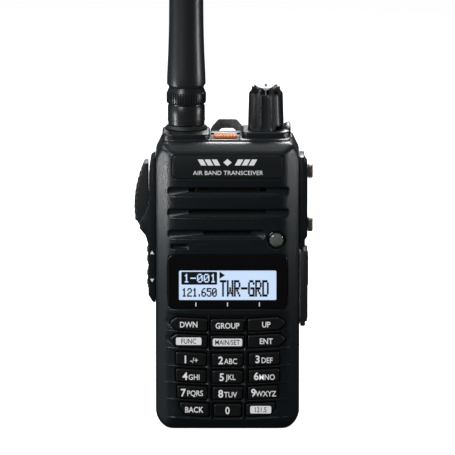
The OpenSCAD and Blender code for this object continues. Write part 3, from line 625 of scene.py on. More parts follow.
@dataclass
class Workshop:
    """Turns finished meshes into pieces that ride on the CAD bodies."""

    shop: FinishShop
    made: int = 0

    def piece(
        self, bm: bmesh.types.BMesh, name: str, slot: str, body: str,
        replaces: Sequence[str] = (), crease: float = 32.0,
    ) -> bpy.types.Object:
        """Makes an object of a mesh and puts it on its body.

        Args:
            bm: The mesh, in metres, which is freed.
            name: The piece's name.
            slot: Its finish.
            body: The CAD body it rides on.
            replaces: The CAD nodes it stands for.
            crease: Edges sharper than this many degrees stay crisp.

        Returns:
            The new object.
        """
        bmesh.ops.remove_doubles(bm, verts=bm.verts[:], dist=1e-7)
        bmesh.ops.recalc_face_normals(bm, faces=bm.faces[:])
        mesh = bpy.data.meshes.new(name)
        bm.to_mesh(mesh)
        bm.free()
        return self.add(mesh, name, slot, body, replaces, crease)

    def add(
        self, mesh: bpy.types.Mesh, name: str, slot: str, body: str,
        replaces: Sequence[str] = (), crease: float = 32.0,
    ) -> bpy.types.Object:
        """Does the same for a mesh that is already made; the arguments are those of piece."""
        mesh.shade_smooth()
        mesh.set_sharp_from_angle(angle=math.radians(crease))
        obj = bpy.data.objects.new(name, mesh)
        bpy.context.scene.collection.objects.link(obj)
        self.shop.dress(obj, slot)
        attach(obj, body)
        if replaces:
            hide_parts(*replaces)
        self.made += 1
        LOG.info("%s: %d faces, on %s", name, len(mesh.polygons), body)
        return obj

    def soften(self, node: str, body: str, width: float = 0.25, segments: int = 2,
            slot: str = "") -> bpy.types.Object:
        """Rounds the sharp edges of a copy of a CAD node and shows it in the node's place.

        Args:
            node: The CAD node.
            body: Its body.
            width: Width of the rounding, in millimetres.
            segments: Number of chords in it.
            slot: The finish, if it isn't the node's own.

        Returns:
            The new object.
        """
        bm = bmesh.new()
        bm.from_mesh(frame["nodes"][node].data)
        bmesh.ops.remove_doubles(bm, verts=bm.verts[:], dist=2e-6)
        bmesh.ops.dissolve_limit(
            bm, angle_limit=math.radians(1.5), verts=bm.verts[:], edges=bm.edges[:],
            use_dissolve_boundaries=False)
        bmesh.ops.recalc_face_normals(bm, faces=bm.faces[:])
        sharp = [e for e in bm.edges if len(e.link_faces) == 2 and e.calc_face_angle(0) > math.radians(28)]
        bmesh.ops.bevel(
            bm, geom=sharp, offset=width * MM, offset_type="OFFSET", segments=segments, profile=0.5,
            affect="EDGES", clamp_overlap=True, material=-1)
        return self.piece(bm, node + "_soft", slot or SLOT_OF[node], body, [node], 40.0)

    def words(
        self, text: str, name: str, slot: str, body: str, height: float, at: tuple[float, float, float],
        condensed: float = 1.0, bold: float = 0.0,
    ) -> bpy.types.Object:
        """Prints a line of plain lettering that faces the front.

        Args:
            text: The lettering.
            name: The piece's name.
            slot: Its finish.
            body: The CAD body it rides on.
            height: Height of a capital, in millimetres.
            at: Middle of the line and the depth of its face, in millimetres.
            condensed: Width of the letters as a share of the font's own.
            bold: How far each stroke is thickened.

        Returns:
            The new object.
        """
        curve = bpy.data.curves.new(name, "FONT")
        curve.body = text
        curve.align_x = "CENTER"
        curve.offset = bold
        curve.resolution_u = 3
        holder = bpy.data.objects.new(name + "_curve", curve)
        bpy.context.scene.collection.objects.link(holder)
        bpy.context.view_layer.update()
        mesh = bpy.data.meshes.new_from_object(holder.evaluated_get(bpy.context.evaluated_depsgraph_get()))
        bpy.data.objects.remove(holder)
        bpy.data.curves.remove(curve)
        xs = [v.co.x for v in mesh.vertices]
        ys = [v.co.y for v in mesh.vertices]
        tall = height / 0.72
        across = tall * condensed
        mid_x, mid_y = (max(xs) + min(xs)) / 2, (max(ys) + min(ys)) / 2
        for vert in mesh.vertices:
            vert.co = Vector(((vert.co.x - mid_x) * across + at[0], at[1],
                (vert.co.y - mid_y) * tall + at[2])) * MM
        bm = bmesh.new()
        bm.from_mesh(mesh)
        bpy.data.meshes.remove(mesh)
        bmesh.ops.remove_doubles(bm, verts=bm.verts[:], dist=1e-7)
        grown_faces = bmesh.ops.extrude_face_region(bm, geom=bm.faces[:])
        for item in grown_faces["geom"]:
            if isinstance(item, bmesh.types.BMVert):
                item.co.y += 0.04 * MM
        return self.piece(bm, name, slot, body)


# ---- front case ----

FRONT = -15.0
PART = 3.0
SMILE = 0.0022
KEY_HEIGHT = 4.6


@dataclass(frozen=True)
class KeySpec:
    """One key: its place in the table, its outline's size and what is printed on it."""

    node: str
    row: int
    column: int
    centre: Point
    width: float
    end: int
    label: str
    inverse: bool = False

    def outline(self, grow: float = 0.0) -> Path:
        """Gives the key's outline grown by some millimetres.

        Args:
            grow: How far outwards.

        Returns:
            The outline, anticlockwise.
        """
        half, h, r = self.width / 2 + grow, KEY_HEIGHT / 2 + grow, 0.7 + grow / 2
        left = [(-half, h, r), (-half, -h, r)]
        if self.end == 1:
            right = [(half - 2.2, -h, r), (half, -0.6, 1.0), (half, 0.6, 1.0), (half - 2.2, h, r)]
        elif self.end == -1:
            right = [(half - 2.0, -h, 1.2), (half, 0.4, r), (half, h, r)]
        else:
            right = [(half, -h, r), (half, h, r)]
        shape = left + right
        cx, cz = abs(self.centre[0]), self.centre[1]
        placed = [(cx + x, cz + z + SMILE * (cx + x) ** 2, radius) for x, z, radius in shape]
        if self.centre[0] < 0:
            placed = [(-x, z, radius) for x, z, radius in reversed(placed)]
        return rounded(placed, 5)


ROWS = (
    (38.45, 14.0, 13.3, 12.1, 1), (32.35, 14.0, 13.3, 12.1, 1), (25.75, 13.2, 10.9, 11.0, 0),
    (19.55, 13.2, 10.9, 11.0, 0), (13.45, 12.8, 10.7, 10.8, 0), (7.25, 12.0, 10.5, 9.9, -1),
)
KEYS = (
    (("key_down", "DWN"), ("key_group", "GROUP"), ("key_up", "UP")),
    (("key_func", "FUNC"), ("key_main", "MAIN/SET"), ("key_ent", "ENT")),
    (("key_1", "1 -/+"), ("key_2", "2 ABC"), ("key_3", "3 DEF")),
    (("key_4", "4 GHI"), ("key_5", "5 JKL"), ("key_6", "6 MNO")),
    (("key_7", "7 PQRS"), ("key_8", "8 TUV"), ("key_9", "9 WXYZ")),
    (("key_back", "BACK"), ("key_0", "0"), ("key_guard", "121.5")),
)
INVERSE_KEYS = ("key_func", "key_main", "key_guard")


def key_specs() -> list[KeySpec]:
    """Gives every key in the order of the table."""
    specs = []
    for row, ((cz, outer_x, outer_w, mid_w, end), names) in enumerate(zip(ROWS, KEYS)):
        for column, (node, label) in zip((-1, 0, 1), names):
            width = outer_w if column else mid_w
            specs.append(KeySpec(
                node, row, column, (column * outer_x, cz), width, end if column else 0, label,
                node in INVERSE_KEYS))
    return specs


@dataclass
class Opening:
    """One patch of the front face round an opening or a recess."""

    low: Point
    high: Point
    contour: Path
    depth: float
    lip: float = 0.3
    dip: float = 0.0
    floor: bool = True
    slot: Path = field(default_factory=list)
    corners: list[Point] = field(default_factory=list)


@dataclass
class FrontCase:
    """The front shell: soft bevels, speaker grooves, name recess, window seat and key openings."""

    work: Workshop
    width: float = 52.0
    height: float = 104.5
    half: float = 23.0
    low: float = 3.6
    high: float = 101.5
    lip_steps: int = 4
    fan_steps: int = 7

    def silhouette(self) -> Path:
        """Gives the case's outline as seen from the front."""
        w, top, shoulder = self.width / 2, self.height, 23.4
        return rounded([
            (-w, 0, 6.5), (w, 0, 6.5), (w, top - 5.4, 7), (shoulder, top, 2.4), (-shoulder, top, 2.4),
            (-w, top - 5.4, 7)], 10)

    @staticmethod
    def _ramp(past: float, slope: float, soft: float) -> float:
        """Gives the drop of a bevel whose start is eased over a distance on both sides."""
        if past <= -soft:
            return 0.0
        if past >= soft:
            return slope * past
        return slope * (past + soft) ** 2 / (4 * soft)

    def skin(self, x: float, z: float) -> float:
        """Gives the depth of the face, bevels included, at a place."""
        side = self._ramp(abs(x) - 20.3, 0.965, 2.6)
        top = self._ramp(z - 100.9, 1.25, 1.5)
        foot = self._ramp(4.5 - z, 0.49, 1.6)
        return FRONT + (side ** 2.6 + top ** 2.6 + foot ** 2.6) ** (1 / 2.6)

    @staticmethod
    def _marks(length: float) -> list[float]:
        """Gives the places along one side of a patch: close together near its ends."""
        near = [0.0, 0.45, 0.9, 1.4, 2.0, 2.7, 3.6, 4.6]
        if length < 12:
            near = [n * length / 12 for n in near]
        inner = [near[-1] + (length - 2 * near[-1]) * k / 4 for k in range(1, 4)]
        return near + inner + [length - n for n in reversed(near)]

    def _frame_points(self, corners: Sequence[Point]) -> Path:
        """Gives the points round a patch's four sides, in the order of its corners."""
        points: Path = []
        for a, b in zip(corners, list(corners[1:]) + [corners[0]]):
            length = math.dist(a, b)
            points += [between(a, b, m / length) for m in self._marks(length)[:-1]]
        return points

    def _bend(self, point: Point) -> Point:
        """Bends the keypad's rows up towards their ends."""
        x, z = point
        share = min(1.0, max(0.0, (44.2 - z) / 1.8))
        return x, z + SMILE * x * x * share

    def _anchored(self, path: Path, per_side: int) -> Path:
        """Resamples an outline so that each of its four sides has the same number of points.

        Args:
            path: A closed outline, anticlockwise.
            per_side: Number of points of one side.

        Returns:
            The points, from the lower left corner on.
        """
        cx = sum(p[0] for p in path) / len(path)
        cz = sum(p[1] for p in path) / len(path)
        starts = []
        for sx, sz in ((-1, -1), (1, -1), (1, 1), (-1, 1)):
            starts.append(max(range(len(path)),
                key=lambda i: sx * (path[i][0] - cx) + 3 * sz * (path[i][1] - cz)))
        points: Path = []
        for a, b in zip(starts, starts[1:] + starts[:1]):
            run = [path[(a + k) % len(path)] for k in range((b - a) % len(path) + 1)]
            lengths = [math.dist(p, q) for p, q in zip(run, run[1:])]
            total = sum(lengths)
            near = [0.0, 0.12, 0.25, 0.4, 0.6, 0.85, 1.15, 1.5]
            shrink = min(1.0, total * 0.4 / near[-1])
            near = [n * shrink for n in near]
            inner = [near[-1] + (total - 2 * near[-1]) * k / 4 for k in range(1, 4)]
            marks = near + inner + [total - n for n in reversed(near)][:-1]
            for mark in marks[:per_side]:
                step, left = 0, mark
                while step < len(lengths) - 1 and left > lengths[step]:
                    left -= lengths[step]
                    step += 1
                points.append(between(run[step], run[step + 1], min(1.0, left / max(1e-9, lengths[step]))))
        return points

    def _patch(self, bm: bmesh.types.BMesh, spot: Opening) -> None:
        """Adds one patch: its fan of rings, rounded lip, wall and floor."""
        (x0, z0), (x1, z1) = spot.low, spot.high
        corners = spot.corners or [(x0, z0), (x1, z0), (x1, z1), (x0, z1)]
        outer = [self._bend(p) for p in self._frame_points(corners)]
        contour = self._anchored(spot.contour, len(outer) // 4)
        edge = grown(contour, spot.lip)
        rings: list[list[Vector]] = []
        for k in range(self.fan_steps, -1, -1):
            t = k / self.fan_steps
            fall = spot.dip * (1 - smooth(t))
            row = [between(a, b, t) for a, b in zip(edge, outer)]
            rings.append([Axis.Y.lift(p, self.skin(*p) + fall) for p in row])
        for k in range(1, self.lip_steps + 1):
            a = math.pi / 2 * k / self.lip_steps
            row = grown(contour, spot.lip * (1 - math.sin(a)))
            down = spot.dip + spot.lip * (1 - math.cos(a))
            rings.append([Axis.Y.lift(p, self.skin(*p) + down) for p in row])
        last = [max(v.y / MM, spot.depth - 0.12) for v in rings[-1]]
        rings.append([Axis.Y.lift(p, y) for p, y in zip(contour, last)])
        if spot.floor:
            tight = grown(contour, -0.12)
            rings.append([Axis.Y.lift(p, max(spot.depth, y)) for p, y in zip(tight, last)])
            if spot.slot:
                inner = self._anchored(spot.slot, len(outer) // 4)
                rings.append([Axis.Y.lift(p, spot.depth) for p in grown(inner, 0.05)])
                rings.append([Axis.Y.lift(p, spot.depth + 0.3) for p in inner])
                rings.append([Axis.Y.lift(p, -12.75) for p in inner])
        loft(bm, rings, first=False, last=spot.floor and not spot.slot)

    def _key_patches(self) -> list[Opening]:
        """Gives the patches round the eighteen keys."""
        rows = [42.4, 35.4, 29.05, 22.65, 16.5, 10.35, self.low]
        splits = []
        for _, outer_x, outer_w, mid_w, _ in ROWS:
            splits.append((mid_w / 2 + outer_x - outer_w / 2) / 2)
        lines = [splits[0]] + [(a + b) / 2 for a, b in zip(splits, splits[1:])] + [splits[-1]]
        patches = []
        for spec in key_specs():
            top, base = rows[spec.row], rows[spec.row + 1]
            a, b = lines[spec.row + 1], lines[spec.row]
            marks = {-1: ((-self.half, -a), (-self.half, -b)), 0: ((-a, a), (-b, b)),
                1: ((a, self.half), (b, self.half))}
            (bl, br), (tl, tr) = marks[spec.column]
            patches.append(Opening(
                (0, 0), (0, 0), spec.outline(0.3), -11.4, 0.32, 0.42, floor=False,
                corners=[(bl, base), (br, base), (tr, top), (tl, top)]))
        return patches

    def _face_patches(self) -> list[Opening]:
        """Gives the patches of the name plate, speaker, microphone, light and window."""
        w, split, groove = self.half, 13.7, 2.9
        return [
            Opening((-w, 42.4), (w, 65.3), box_path(43.2, 19.9, 2, 0, 54.4), FRONT + 1.4, 0.35),
            Opening((-w, 65.3), (split, 69.3), box_path(6.4, 1.8, 0.85, -17.3, 67.3), FRONT + 1.9, 0.35),
            Opening((split, 65.3), (w, 75.65), circle(3.3, 17.6, 69.7), FRONT + 0.9, 0.45),
            Opening((-w, 69.3), (split, 75.65), box_path(34.6, groove, 1.2, -4.0, 71.8), FRONT + 1.1, 0.5,
                    slot=box_path(17.4, 1.3, 0.4, 0, 72.3)),
            Opening((-w, 75.65), (w, 83.45), box_path(43.3, groove, 1.2, 0.35, 79.5), FRONT + 1.1, 0.5,
                    slot=box_path(28, 1.3, 0.4, 0, 80.0)),
            Opening((-w, 83.45), (w, 90.8), box_path(43.3, groove, 1.2, 0.35, 87.4), FRONT + 1.1, 0.5,
                    slot=box_path(28, 1.3, 0.4, 0, 87.9)),
            Opening((-w, 90.8), (w, self.high), box_path(39.8, 8.6, 1.6, 0, 96.4), FRONT + 0.8, 0.3),
        ]

    def _skirt(self, bm: bmesh.types.BMesh) -> None:
        """Carries the face out over the bevels to the case's outline and back to the parting line."""
        bmesh.ops.remove_doubles(bm, verts=bm.verts[:], dist=2e-5)
        centre = (0.0, self.height / 2)
        rim = set()
        for edge in bm.edges:
            if len(edge.link_faces) == 1:
                for vert in edge.verts:
                    x, z = vert.co.x / MM, vert.co.z / MM
                    foot = self.low + SMILE * x * x
                    if abs(abs(x) - self.half) < 0.02 or abs(z - self.high) < 0.02 or abs(z - foot) < 0.02:
                        rim.add(vert)
        ordered = sorted(rim, key=lambda v: math.atan2(v.co.z / MM - centre[1], v.co.x / MM - centre[0]))
        inner = [(v.co.x / MM, v.co.z / MM) for v in ordered]
        shape = self.silhouette()
        outer = [ray_hit(shape, centre, math.atan2(z - centre[1], x - centre[0])) for x, z in inner]
        edge = 1.5
        rings = [[v.co.copy() for v in ordered]]
        for k in range(1, 7):
            row = [between(a, self._drawn(b, centre, edge), k / 6) for a, b in zip(inner, outer)]
            rings.append([Axis.Y.lift(p, self.skin(*p)) for p in row])
        for k in range(1, 5):
            a = math.pi / 2 * k / 4
            row = [self._drawn(p, centre, edge * (1 - math.sin(a))) for p in outer]
            rings.append([Axis.Y.lift(p, self.skin(*p) + 0.9 * (1 - math.cos(a))) for p in row])
        rings.append([Axis.Y.lift(p, PART - 0.25) for p in outer])
        rings.append([Axis.Y.lift(self._drawn(p, centre, 0.25), PART) for p in outer])
        rings.append([Axis.Y.lift(self._drawn(p, centre, 2.2), PART) for p in outer])
        rings.append([Axis.Y.lift(self._drawn(p, centre, 2.2), PART - 8) for p in outer])
        loft(bm, rings, first=False, last=False)

    @staticmethod
    def _drawn(point: Point, centre: Point, distance: float) -> Point:
        """Draws a point in towards the centre by a distance."""
        away = Vector(point) - Vector(centre)
        moved = Vector(point) - away.normalized() * distance
        return moved.x, moved.y

    def _lugs(self, bm: bmesh.types.BMesh) -> None:
        """Adds the two lugs that carry the charging cover."""
        for z in (37.0, 63.6):
            shape = rounded([(25.6, 0.0, 0), (27.9, 0.0, 0.9), (29.25, 1.2, 0.6), (27.9, 2.4, 0.9),
                (25.6, 2.4, 0)], 4)
            prism(bm, shape, Axis.Z, z, z + 1.4, 0.2, 0.2)
        seat = box_path(10.4, 26.4, 1.2, -4.2, 51.0)
        prism(bm, seat, Axis.X, 25.6, 26.2, 0.02, 0.12, 2)

    def build(self) -> None:
        """Builds the shell and shows it in place of the CAD node."""
        bm = bmesh.new()
        for spot in self._face_patches() + self._key_patches():
            self._patch(bm, spot)
        self._skirt(bm)
        bmesh.ops.remove_doubles(bm, verts=bm.verts[:], dist=2e-5)
        self._lugs(bm)
        self.work.piece(bm, "front_shell", "case_plastic", "case", ["front_case"], 46.0)
        self.work.words("MIC", "mic_mark", "dark_ink", "case", 1.7, (-11.7, FRONT - 0.03, 67.4), 0.9)


@dataclass
class Keypad:
    """The eighteen caps with their rounded shoulders and printed legends."""

    work: Workshop
    face: float = -15.42
    shoulder: float = 0.45

    def _cap(self, spec: KeySpec) -> None:
        """Builds one cap with its hidden flange."""
        bm = bmesh.new()
        path, flange = spec.outline(), spec.outline(0.45)
        rings = [[Axis.Y.lift(p, -11.6) for p in flange], [Axis.Y.lift(p, -12.4) for p in flange],
                 [Axis.Y.lift(p, -12.5) for p in path]]
        for k in range(6):
            a = math.pi / 2 * k / 5
            row = grown(path, -self.shoulder * (1 - math.cos(a)))
            rings.append([Axis.Y.lift(p, self.face + self.shoulder * (1 - math.sin(a))) for p in row])
        centre = (spec.centre[0], spec.centre[1] + SMILE * spec.centre[0] ** 2)
        top = grown(path, -self.shoulder)
        for share, dip in ((0.8, 0.02), (0.5, 0.05), (0.2, 0.06)):
            rings.append([Axis.Y.lift(between(centre, p, share), self.face + dip) for p in top])
        loft(bm, rings)
        self.work.piece(bm, spec.node + "_cap", "key_rubber", spec.node + "_cap", [spec.node], 50.0)

    def _legend(self, spec: KeySpec) -> None:
        """Prints one legend, dark on a pale plate where the key is marked that way."""
        x, z = spec.centre[0], spec.centre[1] + SMILE * spec.centre[0] ** 2
        body = spec.node + "_cap"
        # The pale legend ink and plates carry a painted glow that brightens them.
        slot, depth = "legend_ink_painted_glow", self.face - 0.03
        if spec.inverse:
            width = {"key_func": 9.2, "key_main": 10.6, "key_guard": 7.6}[spec.node]
            bm = bmesh.new()
            prism(bm, box_path(width, 2.75, 0.5, x, z), Axis.Y, self.face - 0.03, self.face + 0.1, 0.01,
                0.01, 1)
            self.work.piece(bm, spec.node + "_plate", "legend_ink_painted_glow", body)
            slot, depth = "dark_ink", self.face - 0.045
            self.work.words(spec.label, spec.node + "_legend", slot, body, 1.85, (x, depth, z), 0.82, 0.01)
            return
        digit, _, rest = spec.label.partition(" ")
        if not rest:
            tall = 2.7 if spec.label == "0" else 2.1
            self.work.words(spec.label, spec.node + "_legend", slot, body, tall, (x, depth, z), 0.88, 0.016)
            return
        wide = {"-/+": 3.5, "ABC": 4.4, "DEF": 4.2, "GHI": 3.8, "JKL": 3.7, "MNO": 5.1, "PQRS": 5.8,
            "TUV": 4.4,
                "WXYZ": 6.3}[rest]
        left = x - (wide + 2.2) / 2
        self.work.words(digit, spec.node + "_digit", slot, body, 2.8, (left + 0.85, depth, z), 0.95, 0.022)
        self.work.words(rest, spec.node + "_legend", slot, body, 2.05,
            (left + 2.2 + wide / 2, depth, z - 0.36),
                        0.86, 0.004 if rest == "-/+" else 0.008)

    def build(self) -> None:
        """Builds every key."""
        for spec in key_specs():
            self._cap(spec)
            self._legend(spec)


# ---- display ----

GLYPHS = {
    "0": "01110 10001 10011 10101 11001 10001 01110", "1": "00100 01100 00100 00100 00100 00100 01110",
    "2": "01110 10001 00001 00110 01000 10000 11111", "5": "11111 10000 11110 00001 00001 10001 01110",
    "6": "00110 01000 10000 11110 10001 10001 01110", "D": "11110 10001 10001 10001 10001 10001 11110",
    "G": "01110 10001 10000 10111 10001 10001 01111", "R": "11110 10001 10001 11110 10100 10010 10001",
    "T": "11111 00100 00100 00100 00100 00100 00100", "W": "10001 10001 10001 10101 10101 11011 10001",
    "-": "00000 00000 00000 11111 00000 00000 00000", ".": "00000 00000 00000 00000 00000 01000 01000",
}


@dataclass
class Display:
    """The glossy window, its lit panel and what the panel shows."""

    work: Workshop
    glass: float = FRONT + 0.1
    panel: float = FRONT + 0.42
    lit_low: Point = (-17.5, 47.8)
    lit_high: Point = (17.6, 58.6)

    def _window(self) -> None:
        """Builds the black window with an opening over the lit panel."""
        bm = bmesh.new()
        outer = box_path(43.0, 19.7, 1.9, 0, 54.4, 8)
        cx, cz = (self.lit_low[0] + self.lit_high[0]) / 2, (self.lit_low[1] + self.lit_high[1]) / 2
        inner = box_path(self.lit_high[0] - self.lit_low[0], self.lit_high[1] - self.lit_low[1], 0.5, cx,
            cz, 8)
        rings = [[Axis.Y.lift(p, FRONT + 1.35) for p in outer]]
        for k in range(5):
            a = math.pi / 2 * k / 4
            row = grown(outer, -0.3 * (1 - math.cos(a)))
            rings.append([Axis.Y.lift(p, self.glass + 0.3 * (1 - math.sin(a))) for p in row])
        rings.append([Axis.Y.lift(p, self.glass) for p in grown(inner, 0.08)])
        rings.append([Axis.Y.lift(p, self.glass + 0.08) for p in inner])
        rings.append([Axis.Y.lift(p, FRONT + 0.6) for p in inner])
        loft(bm, rings, first=True, last=False)
        self.work.piece(bm, "window_frame", "window_gloss", "case", ["display_window"])
        bm = bmesh.new()
        prism(bm, grown(inner, 0.3), Axis.Y, self.panel, FRONT + 1.0, 0.02, 0.02, 1)
        self.work.piece(bm, "lit_panel", "panel_glass", "case")

    def _dots(
        self, bm: bmesh.types.BMesh, text: str, left: float, base: float, dot: Point, depth: float,
        weight: Point = (0.97, 0.97),
    ) -> None:
        """Sets a line of dot-matrix characters.

        Args:
            bm: The mesh to add to.
            text: The characters.
            left: Left edge of the line.
            base: Its foot.
            dot: Pitch of the dots across and up.
            depth: Depth of their faces.
            weight: Share of the pitch that a dot fills across and up.
        """
        cursor = left
        for letter in text:
            rows = GLYPHS[letter].split()
            for r, row in enumerate(rows):
                for c, on in enumerate(row):
                    if on == "1":
                        x, z = cursor + c * dot[0], base + (6 - r) * dot[1]
                        x1, z1 = x + dot[0] * weight[0], z + dot[1] * weight[1]
                        square = [(x, z), (x1, z), (x1, z1), (x, z1)]
                        prism(bm, square, Axis.Y, depth, depth + 0.03, 0.0, 0.0, 1)
            cursor += dot[0] * (4.0 if letter == "." else 6.0)

    def _readout(self) -> None:
        """Sets the channel, frequency, flag and name."""
        face = self.panel - 0.03
        bm = bmesh.new()
        block = box_path(12.9, 4.7, 0.3, -10.2, 55.75, 3)
        prism(bm, block, Axis.Y, face, self.panel + 0.02, 0.0, 0.0, 1)
        self._dots(bm, "121.650", -16.5, 48.95, (0.32, 0.45), face, (1.6, 1.15))
        self._dots(bm, "TWR-GRD", -2.8, 49.0, (0.425, 0.87), face, (1.6, 0.97))
        flag = [(-2.9, 55.5), (-0.9, 56.85), (-2.9, 58.2)]
        prism(bm, flag, Axis.Y, face, self.panel + 0.02, 0.0, 0.0, 1)
        self.work.piece(bm, "readout_dark", "dark_ink", "case")
        bm = bmesh.new()
        self._dots(bm, "1-001", -15.8, 54.2, (0.40, 0.45), face - 0.03, (1.15, 1.0))
        self.work.piece(bm, "readout_pale", "panel_glass", "case")

    def _ticks(self) -> None:
        """Prints the three short marks under the panel."""
        bm = bmesh.new()
        for x in (-11.4, 0.0, 11.5):
            prism(bm, box_path(0.35, 1.5, 0.1, x, 46.2, 2), Axis.Y, self.glass - 0.03, self.glass + 0.02,
                0.0, 0.0, 1)
        self.work.piece(bm, "window_ticks", "legend_ink_painted_glow", "case")

    def build(self) -> None:
        """Builds the window and everything behind it."""
        self._window()
        self._readout()
        self._ticks()


@dataclass
class FrontTrim:
    """The name plate with its plain emblem, and the status light."""

    work: Workshop
    face: float = FRONT + 0.2

    def _plate(self) -> None:
        """Builds the plate, the emblem and the descriptive line."""
        bm = bmesh.new()
        prism(bm, box_path(39.5, 8.3, 1.5, 0, 96.4, 8), Axis.Y, self.face, self.face + 0.6, 0.25, 0.05)
        self.work.piece(bm, "plate", "plate_plastic", "case", ["name_plate"])
        bm = bmesh.new()
        for step in range(3):
            for side in (-1, 1):
                x = side * (2.6 + step * 2.5)
                bar = [(x, 97.0), (x + side * 1.9, 97.0), (x + side * 3.1, 99.2), (x + side * 1.2, 99.2)]
                prism(bm, bar if side > 0 else bar[::-1], Axis.Y, self.face - 0.04, self.face + 0.02, 0.0,
                    0.0, 1)
        diamond = [(0, 96.8), (1.5, 98.1), (0, 99.4), (-1.5, 98.1)]
        prism(bm, diamond, Axis.Y, self.face - 0.04, self.face + 0.02, 0.0, 0.0, 1)
        self.work.piece(bm, "plate_emblem", "legend_ink_painted_glow", "case")
        self.work.words("AIR BAND TRANSCEIVER", "plate_words", "legend_ink_painted_glow", "case", 1.6,
                        (0.2, self.face - 0.03, 94.3), 1.02, 0.0)

    def _lens(self) -> None:
        """Builds the domed clear lens and the dark ring that holds it."""
        bm = bmesh.new()
        dome = [(2.5 * math.cos(math.radians(a)), -14.3 - 0.9 * math.sin(math.radians(a))) for a in range(0,
            91, 10)]
        lathe(bm, [(0.001, -12.2), (2.5, -12.2)] + dome[:-1] + [(0.001, dome[-1][1])],
            Vector((17.6, 0, 69.7)),
              Axis.Y, 48)
        self.work.piece(bm, "lens_dome", "clear_lens", "case", ["status_lens"])
        bm = bmesh.new()
        lathe(bm, [(3.25, -14.1), (3.2, -14.5), (3.0, -14.6), (2.65, -14.5), (2.55, -14.1)],
            Vector((17.6, 0, 69.7)),
              Axis.Y, 48)
        self.work.piece(bm, "lens_ring", "window_gloss", "case")

    def build(self) -> None:
        """Builds the trim."""
        self._plate()
        self._lens()


# ---- top ----


@dataclass
class TopCap:
    """The mouldings on top: a plate, the antenna's collar and the knob's guard."""

    work: Workshop
    plate: float = 104.5
    axis_y: float = 6.6
    antenna_x: float = -14.9
    knob_x: float = 13.9

    def _walled(
        self, bm: bmesh.types.BMesh, path: Path, centre: Point, hole: float, floor: float,
        rim: Callable[[float, float], float], edge: float,
    ) -> None:
        """Adds a block with a round pocket in its top.

        Args:
            bm: The mesh to add to.
            path: The block's outline.
            centre: The pocket's middle.
            hole: The pocket's radius.
            floor: Height of the pocket's floor.
            rim: Height of the top at a place.
            edge: Radius of the rounded outer edge.
        """
        angles = [math.atan2(y - centre[1], x - centre[0]) for x, y in path]
        round_path = [(centre[0] + hole * math.cos(a), centre[1] + hole * math.sin(a)) for a in angles]
        rings = [[Axis.Z.lift(p, self.plate) for p in path]]
        for k in range(6):
            a = math.pi / 2 * k / 5
            row = grown(path, -edge * (1 - math.cos(a)))
            rings.append([Axis.Z.lift(p, rim(*p) - edge * (1 - math.sin(a))) for p in row])
        inner = grown(path, -edge)
        for share in (0.3, 0.6, 0.9):
            row = [between(a, b, share) for a, b in zip(inner, round_path)]
            rings.append([Axis.Z.lift(p, rim(*p)) for p in row])
        rings.append([Axis.Z.lift(p, rim(*p) - 0.15) for p in round_path])
        rings.append([Axis.Z.lift(p, floor) for p in round_path])
        loft(bm, rings)

    def _guard_rim(self, x: float, y: float) -> float:
        """Gives the height of the guard's rim, which rises to a horn at its right."""
        rise = smooth((x - self.knob_x - 4.4) / 4.0) * (1 - smooth((abs(y - 7.0) - 3.6) / 3.0))
        return 107.2 + 1.95 * rise

    def _collar_rim(self, x: float, y: float) -> float:
        """Gives the height of the collar's rim, a little lower at its sides."""
        return 107.08 - 0.2 * smooth((abs(x - self.antenna_x) - 5.5) / 3.5)

    def build(self) -> None:
        """Builds the cap and shows it in place of the CAD node."""
        bm = bmesh.new()
        ax, kx = self.antenna_x, self.knob_x
        left = rounded([(-22.7, -7.5, 4), (-5.9, -7.5, 0.8), (-5.9, 13.9, 0.8), (-22.7, 13.9, 4)], 8)
        right = rounded([(4.4, -7.5, 0.8), (22.7, -7.5, 4), (22.7, 13.9, 4), (4.4, 13.9, 0.8)], 8)
        front = rounded([(-6.1, -7.5, 0.2), (4.6, -7.5, 0.2), (4.6, -5.0, 0.2), (-6.1, -5.0, 0.2)], 3)
        rear = rounded([(-6.1, 8.7, 0.2), (4.6, 8.7, 0.2), (4.6, 13.9, 0.2), (-6.1, 13.9, 0.2)], 3)
        for path in (left, right, front, rear):
            prism(bm, path, Axis.Z, self.plate - 0.1, self.plate + 0.6, 0.02, 0.3)
        collar = rounded([(ax - 8.7, -7, 4), (ax + 8.6, -7, 3.5), (ax + 8.6, 14.4, 4), (ax - 8.7, 14.4, 4)],
            12)
        self._walled(bm, collar, (ax, self.axis_y), 6.2, 106.0, self._collar_rim, 0.6)
        guard = rounded([(kx - 8.9, -3, 2.4), (kx + 9.0, -3, 5), (kx + 9.0, 14.4, 4), (kx - 8.9, 14.4, 2)],
            12)
        self._walled(bm, guard, (kx, self.axis_y), 7.0, 105.42, self._guard_rim, 0.9)
        self.work.piece(bm, "top_moulding", "case_plastic", "case", ["top_cap"], 40.0)


